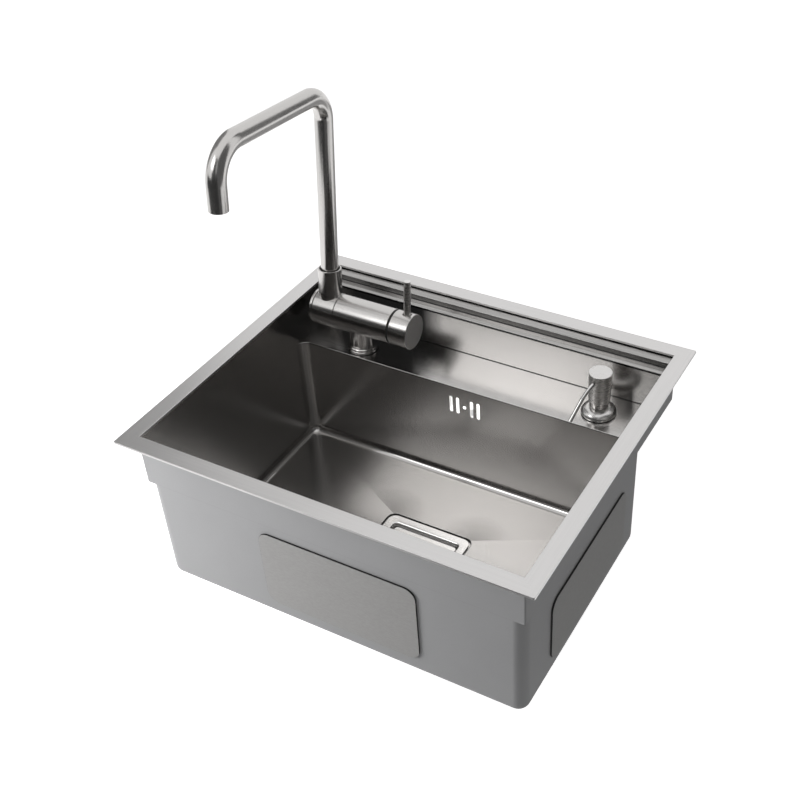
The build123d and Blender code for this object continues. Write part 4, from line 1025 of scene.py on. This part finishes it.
# Spout hub: a turned drum that folds on the tap's spigot, with an end cap pressed on its left
# and a socket on top, in which a rubber ring and a slip bush hold the pipe.
groove_radius = 0.0208
groove_left, hub_left, hub_right = -0.2110, -0.2096, -0.1796
hub = turned(
    (
        (groove_radius, groove_left),
        (groove_radius, hub_left),
        (barrel_radius, hub_left),
        (barrel_radius, hub_right),
    ),
    128,
)
stand(hub, along_barrel)
soften(hub, 0.0003)
hand_over(hub, "hub", "spout_hub", "spout_base", "tap_steel", round_x_steel)

end_cap_left = -0.2140
end_cap = turned(((barrel_radius, end_cap_left), (barrel_radius, groove_left)), 128)
stand(end_cap, along_barrel)
soften(end_cap, 0.0004)
hand_over(end_cap, "end_cap", "hub_end_cap", "spout_base", "tap_steel", round_x_steel)

spout_place = leaning(-0.195)
way_through, socket_bore, socket_radius = 0.0075, 0.0126, 0.0145
socket_foot, socket_seat, socket_top = 0.0165, 0.0205, 0.0560
socket = turned(
    (
        (way_through, socket_foot),
        (socket_radius, socket_foot),
        (socket_radius, socket_top),
        (socket_bore, socket_top),
        (socket_bore, socket_seat),
        (way_through, socket_seat),
        (way_through, socket_foot),
    )
)
stand(socket, spout_place)
soften(socket, 0.0005)
hand_over(socket, "socket", "spout_socket", "spout_base", "tap_steel", round_z_steel)


# Spout pipe: one steel tube bent twice, brushed along its length, with the aerator pushed
# into its tip.
def bent_tube(radius, wall, foot, pitch, runs, sides=64):
    """A tube that starts at a point, pitched forward from upright by an angle, and goes
    through straight lengths; before each but the first is a bend of a radius and angle."""
    bpy.ops.mesh.primitive_circle_add(
        vertices=sides, radius=radius, location=foot, rotation=(radians(pitch), 0, 0)
    )
    tube = bpy.context.object
    settle()
    bpy.ops.object.mode_set(mode="EDIT")
    bpy.ops.mesh.select_mode(type="EDGE")
    bpy.ops.mesh.select_all(action="SELECT")
    spot = Vector(foot)
    for bend_radius, bend, length in runs:
        if bend:
            inward = Vector((0, -cos(radians(pitch)), -sin(radians(pitch))))
            centre = spot + bend_radius * inward
            bpy.ops.mesh.spin(steps=24, angle=radians(bend), center=centre, axis=(-1, 0, 0))
            pitch += bend
            outward = Vector((0, cos(radians(pitch)), sin(radians(pitch))))
            spot = centre + bend_radius * outward
        run = length * Vector((0, -sin(radians(pitch)), cos(radians(pitch))))
        bpy.ops.mesh.extrude_region_move(TRANSFORM_OT_translate={"value": run})
        spot = spot + run
    bpy.ops.mesh.select_all(action="SELECT")
    bpy.ops.mesh.remove_doubles(threshold=1e-6)
    bpy.ops.mesh.normals_make_consistent(inside=False)
    bpy.ops.object.mode_set(mode="OBJECT")
    ring = tube.data.polygons[0]
    faces_out = ring.normal.dot(ring.center - Vector(foot)) > 0
    thicken(tube, wall, faces_out)
    return tube


pipe_steel = turned_steel("pipe_steel", (700.0, 30.0, 30.0))
pipe_radius, pipe_wall = 0.011, 0.0012
pipe_foot = (0, 0, 0.0208)
pipe_runs = ((0, 0, 0.2222), (0.032, 90.0, 0.141), (0.038, 90.0, 0.027))
pipe_turn = 3.3
pipe = bent_tube(pipe_radius, pipe_wall, pipe_foot, 0.0, pipe_runs)
stand(pipe, spout_place @ Matrix.Rotation(radians(pipe_turn), 4, "Z"))
soften(pipe, 0.0003)
hand_over(pipe, "pipe", "spout_pipe", "spout", "tap_steel", pipe_steel)
dress(dark_plastic, "black_plastic", "aerator")


# Soap pump: a domed base with a threaded neck through the recess floor, a collar that closes
# it, and a head with a bent nozzle that is pressed down over the collar.
dome_steel = turned_steel("dome_steel", (60.0, 60.0, 900.0), 0.28, (0.66, 0.65, 0.64))
tube_steel = turned_steel("tube_steel", (60.0, 60.0, 900.0), 0.12, (0.70, 0.69, 0.68))
pump_place = Matrix.Translation((*pump_at, deck_z))
dome_centre_out, dome_centre_up, dome_bend = 0.01204, -0.0004, 0.0094
dome_rise = [
    (
        dome_centre_out + dome_bend * cos(radians(angle)),
        dome_centre_up + dome_bend * sin(radians(angle)),
    )
    for angle in range(25, 90, 8)
]
neck_bore, neck_radius, dome_radius = 0.0105, 0.0125, 0.0208
neck_foot, dome_foot, dome_top = -0.0490, 0.0010, 0.0090
dome = turned(
    (
        (neck_bore, dome_top),
        (neck_bore, neck_foot),
        (neck_radius, neck_foot),
        (neck_radius, dome_foot),
        (dome_radius, dome_foot),
        (dome_radius, 0.0030),
        *dome_rise,
        (0.0118, dome_top),
        (neck_bore, dome_top),
    )
)
stand(dome, pump_place)
soften(dome)
hand_over(dome, "dome", "pump_base", "sink", "tap_steel", dome_steel)

stem_bore, collar_radius, collar_top = 0.0026, 0.0114, 0.0200
collar = turned(
    (
        (stem_bore, dome_top),
        (collar_radius, dome_top),
        (collar_radius, collar_top),
        (stem_bore, collar_top),
        (stem_bore, dome_top),
    )
)
stand(collar, pump_place)
soften(collar, 0.0004)
hand_over(collar, "collar", "pump_collar", "sink", "tap_steel", round_z_steel)

head_bore, head_foot = 0.01175, 0.0195
pump_head = turned(
    ((head_bore, 0.0325), (head_bore, head_foot), (0.0128, head_foot), (0.0136, 0.0580))
)
stand(pump_head, pump_place)
soften(pump_head, 0.0005)
hand_over(pump_head, "press_head", "pump_head", "pump_top", "tap_steel", dome_steel)

nozzle_radius, nozzle_wall = 0.0023, 0.0010
nozzle_foot = (0, -0.006, 0.0495)
nozzle_pitch = 108.43
nozzle_runs = ((0, 0, 0.01341), (0.040, 24.63, 0.02686))
nozzle_turn = -15.0
nozzle = bent_tube(nozzle_radius, nozzle_wall, nozzle_foot, nozzle_pitch, nozzle_runs, 32)
stand(nozzle, pump_place @ Matrix.Rotation(radians(nozzle_turn), 4, "Z"))
soften(nozzle)
hand_over(nozzle, "nozzle_tube", "nozzle", "pump_top", "tap_steel", tube_steel)
dress(black_rubber, "black_rubber", "pump_gasket")


# Hidden works: washers and nuts that clamp the tap and the pump under the recess floor, the
# tap's cartridge and spigot, the pump's works, and the soap bottle screwed on from underneath.
# They are brass, plated steel, rubber and moulded plastic.
brass, shader, place = finish("brass", (0.70, 0.52, 0.24), 1.0, 0.34)
brass_turning = noise(place, (80.0, 80.0, 1600.0))
shade_between(brass_turning, (0.60, 0.43, 0.19), (0.76, 0.58, 0.28)).feed(shader, "Base Color")
(brass_turning * 0.12 + 0.28).feed(shader, "Roughness")
bumped(brass_turning, shader, 1e-5)
white_plastic = moulded("white_plastic", (0.78, 0.78, 0.77), (0.86, 0.86, 0.85), 0.38)
slip_plastic = moulded("slip_plastic", (0.74, 0.74, 0.72), (0.84, 0.84, 0.82), 0.30)
bottle_plastic = moulded("bottle_plastic", (0.80, 0.80, 0.79), (0.87, 0.87, 0.86), 0.26)
plated_steel = turned_steel("plated_steel", (300.0, 300.0, 300.0), 0.3, (0.66, 0.65, 0.63))
dress(black_rubber, "black_rubber", "shank_rubber_washer", "pump_rubber_washer")
dress(black_rubber, "black_rubber", "spigot_o_rings", "pipe_o_ring")
dress(plated_steel, "bright_steel", "shank_steel_washer", "spigot_washer", "spigot_screw")
dress(plated_steel, "bright_steel", "pump_spring")
dress(dark_plastic, "black_plastic", "pump_nut")
dress(brass, "brass", "tap_shank", "shank_nut", "cartridge_nut", "spindle", "spigot")
dress(white_plastic, "white_plastic", "cartridge")
dress(slip_plastic, "slip_plastic", "pipe_bush", "pump_cylinder", "pump_plunger", "dip_tube")
dress(bottle_plastic, "bottle_plastic", "soap_bottle")
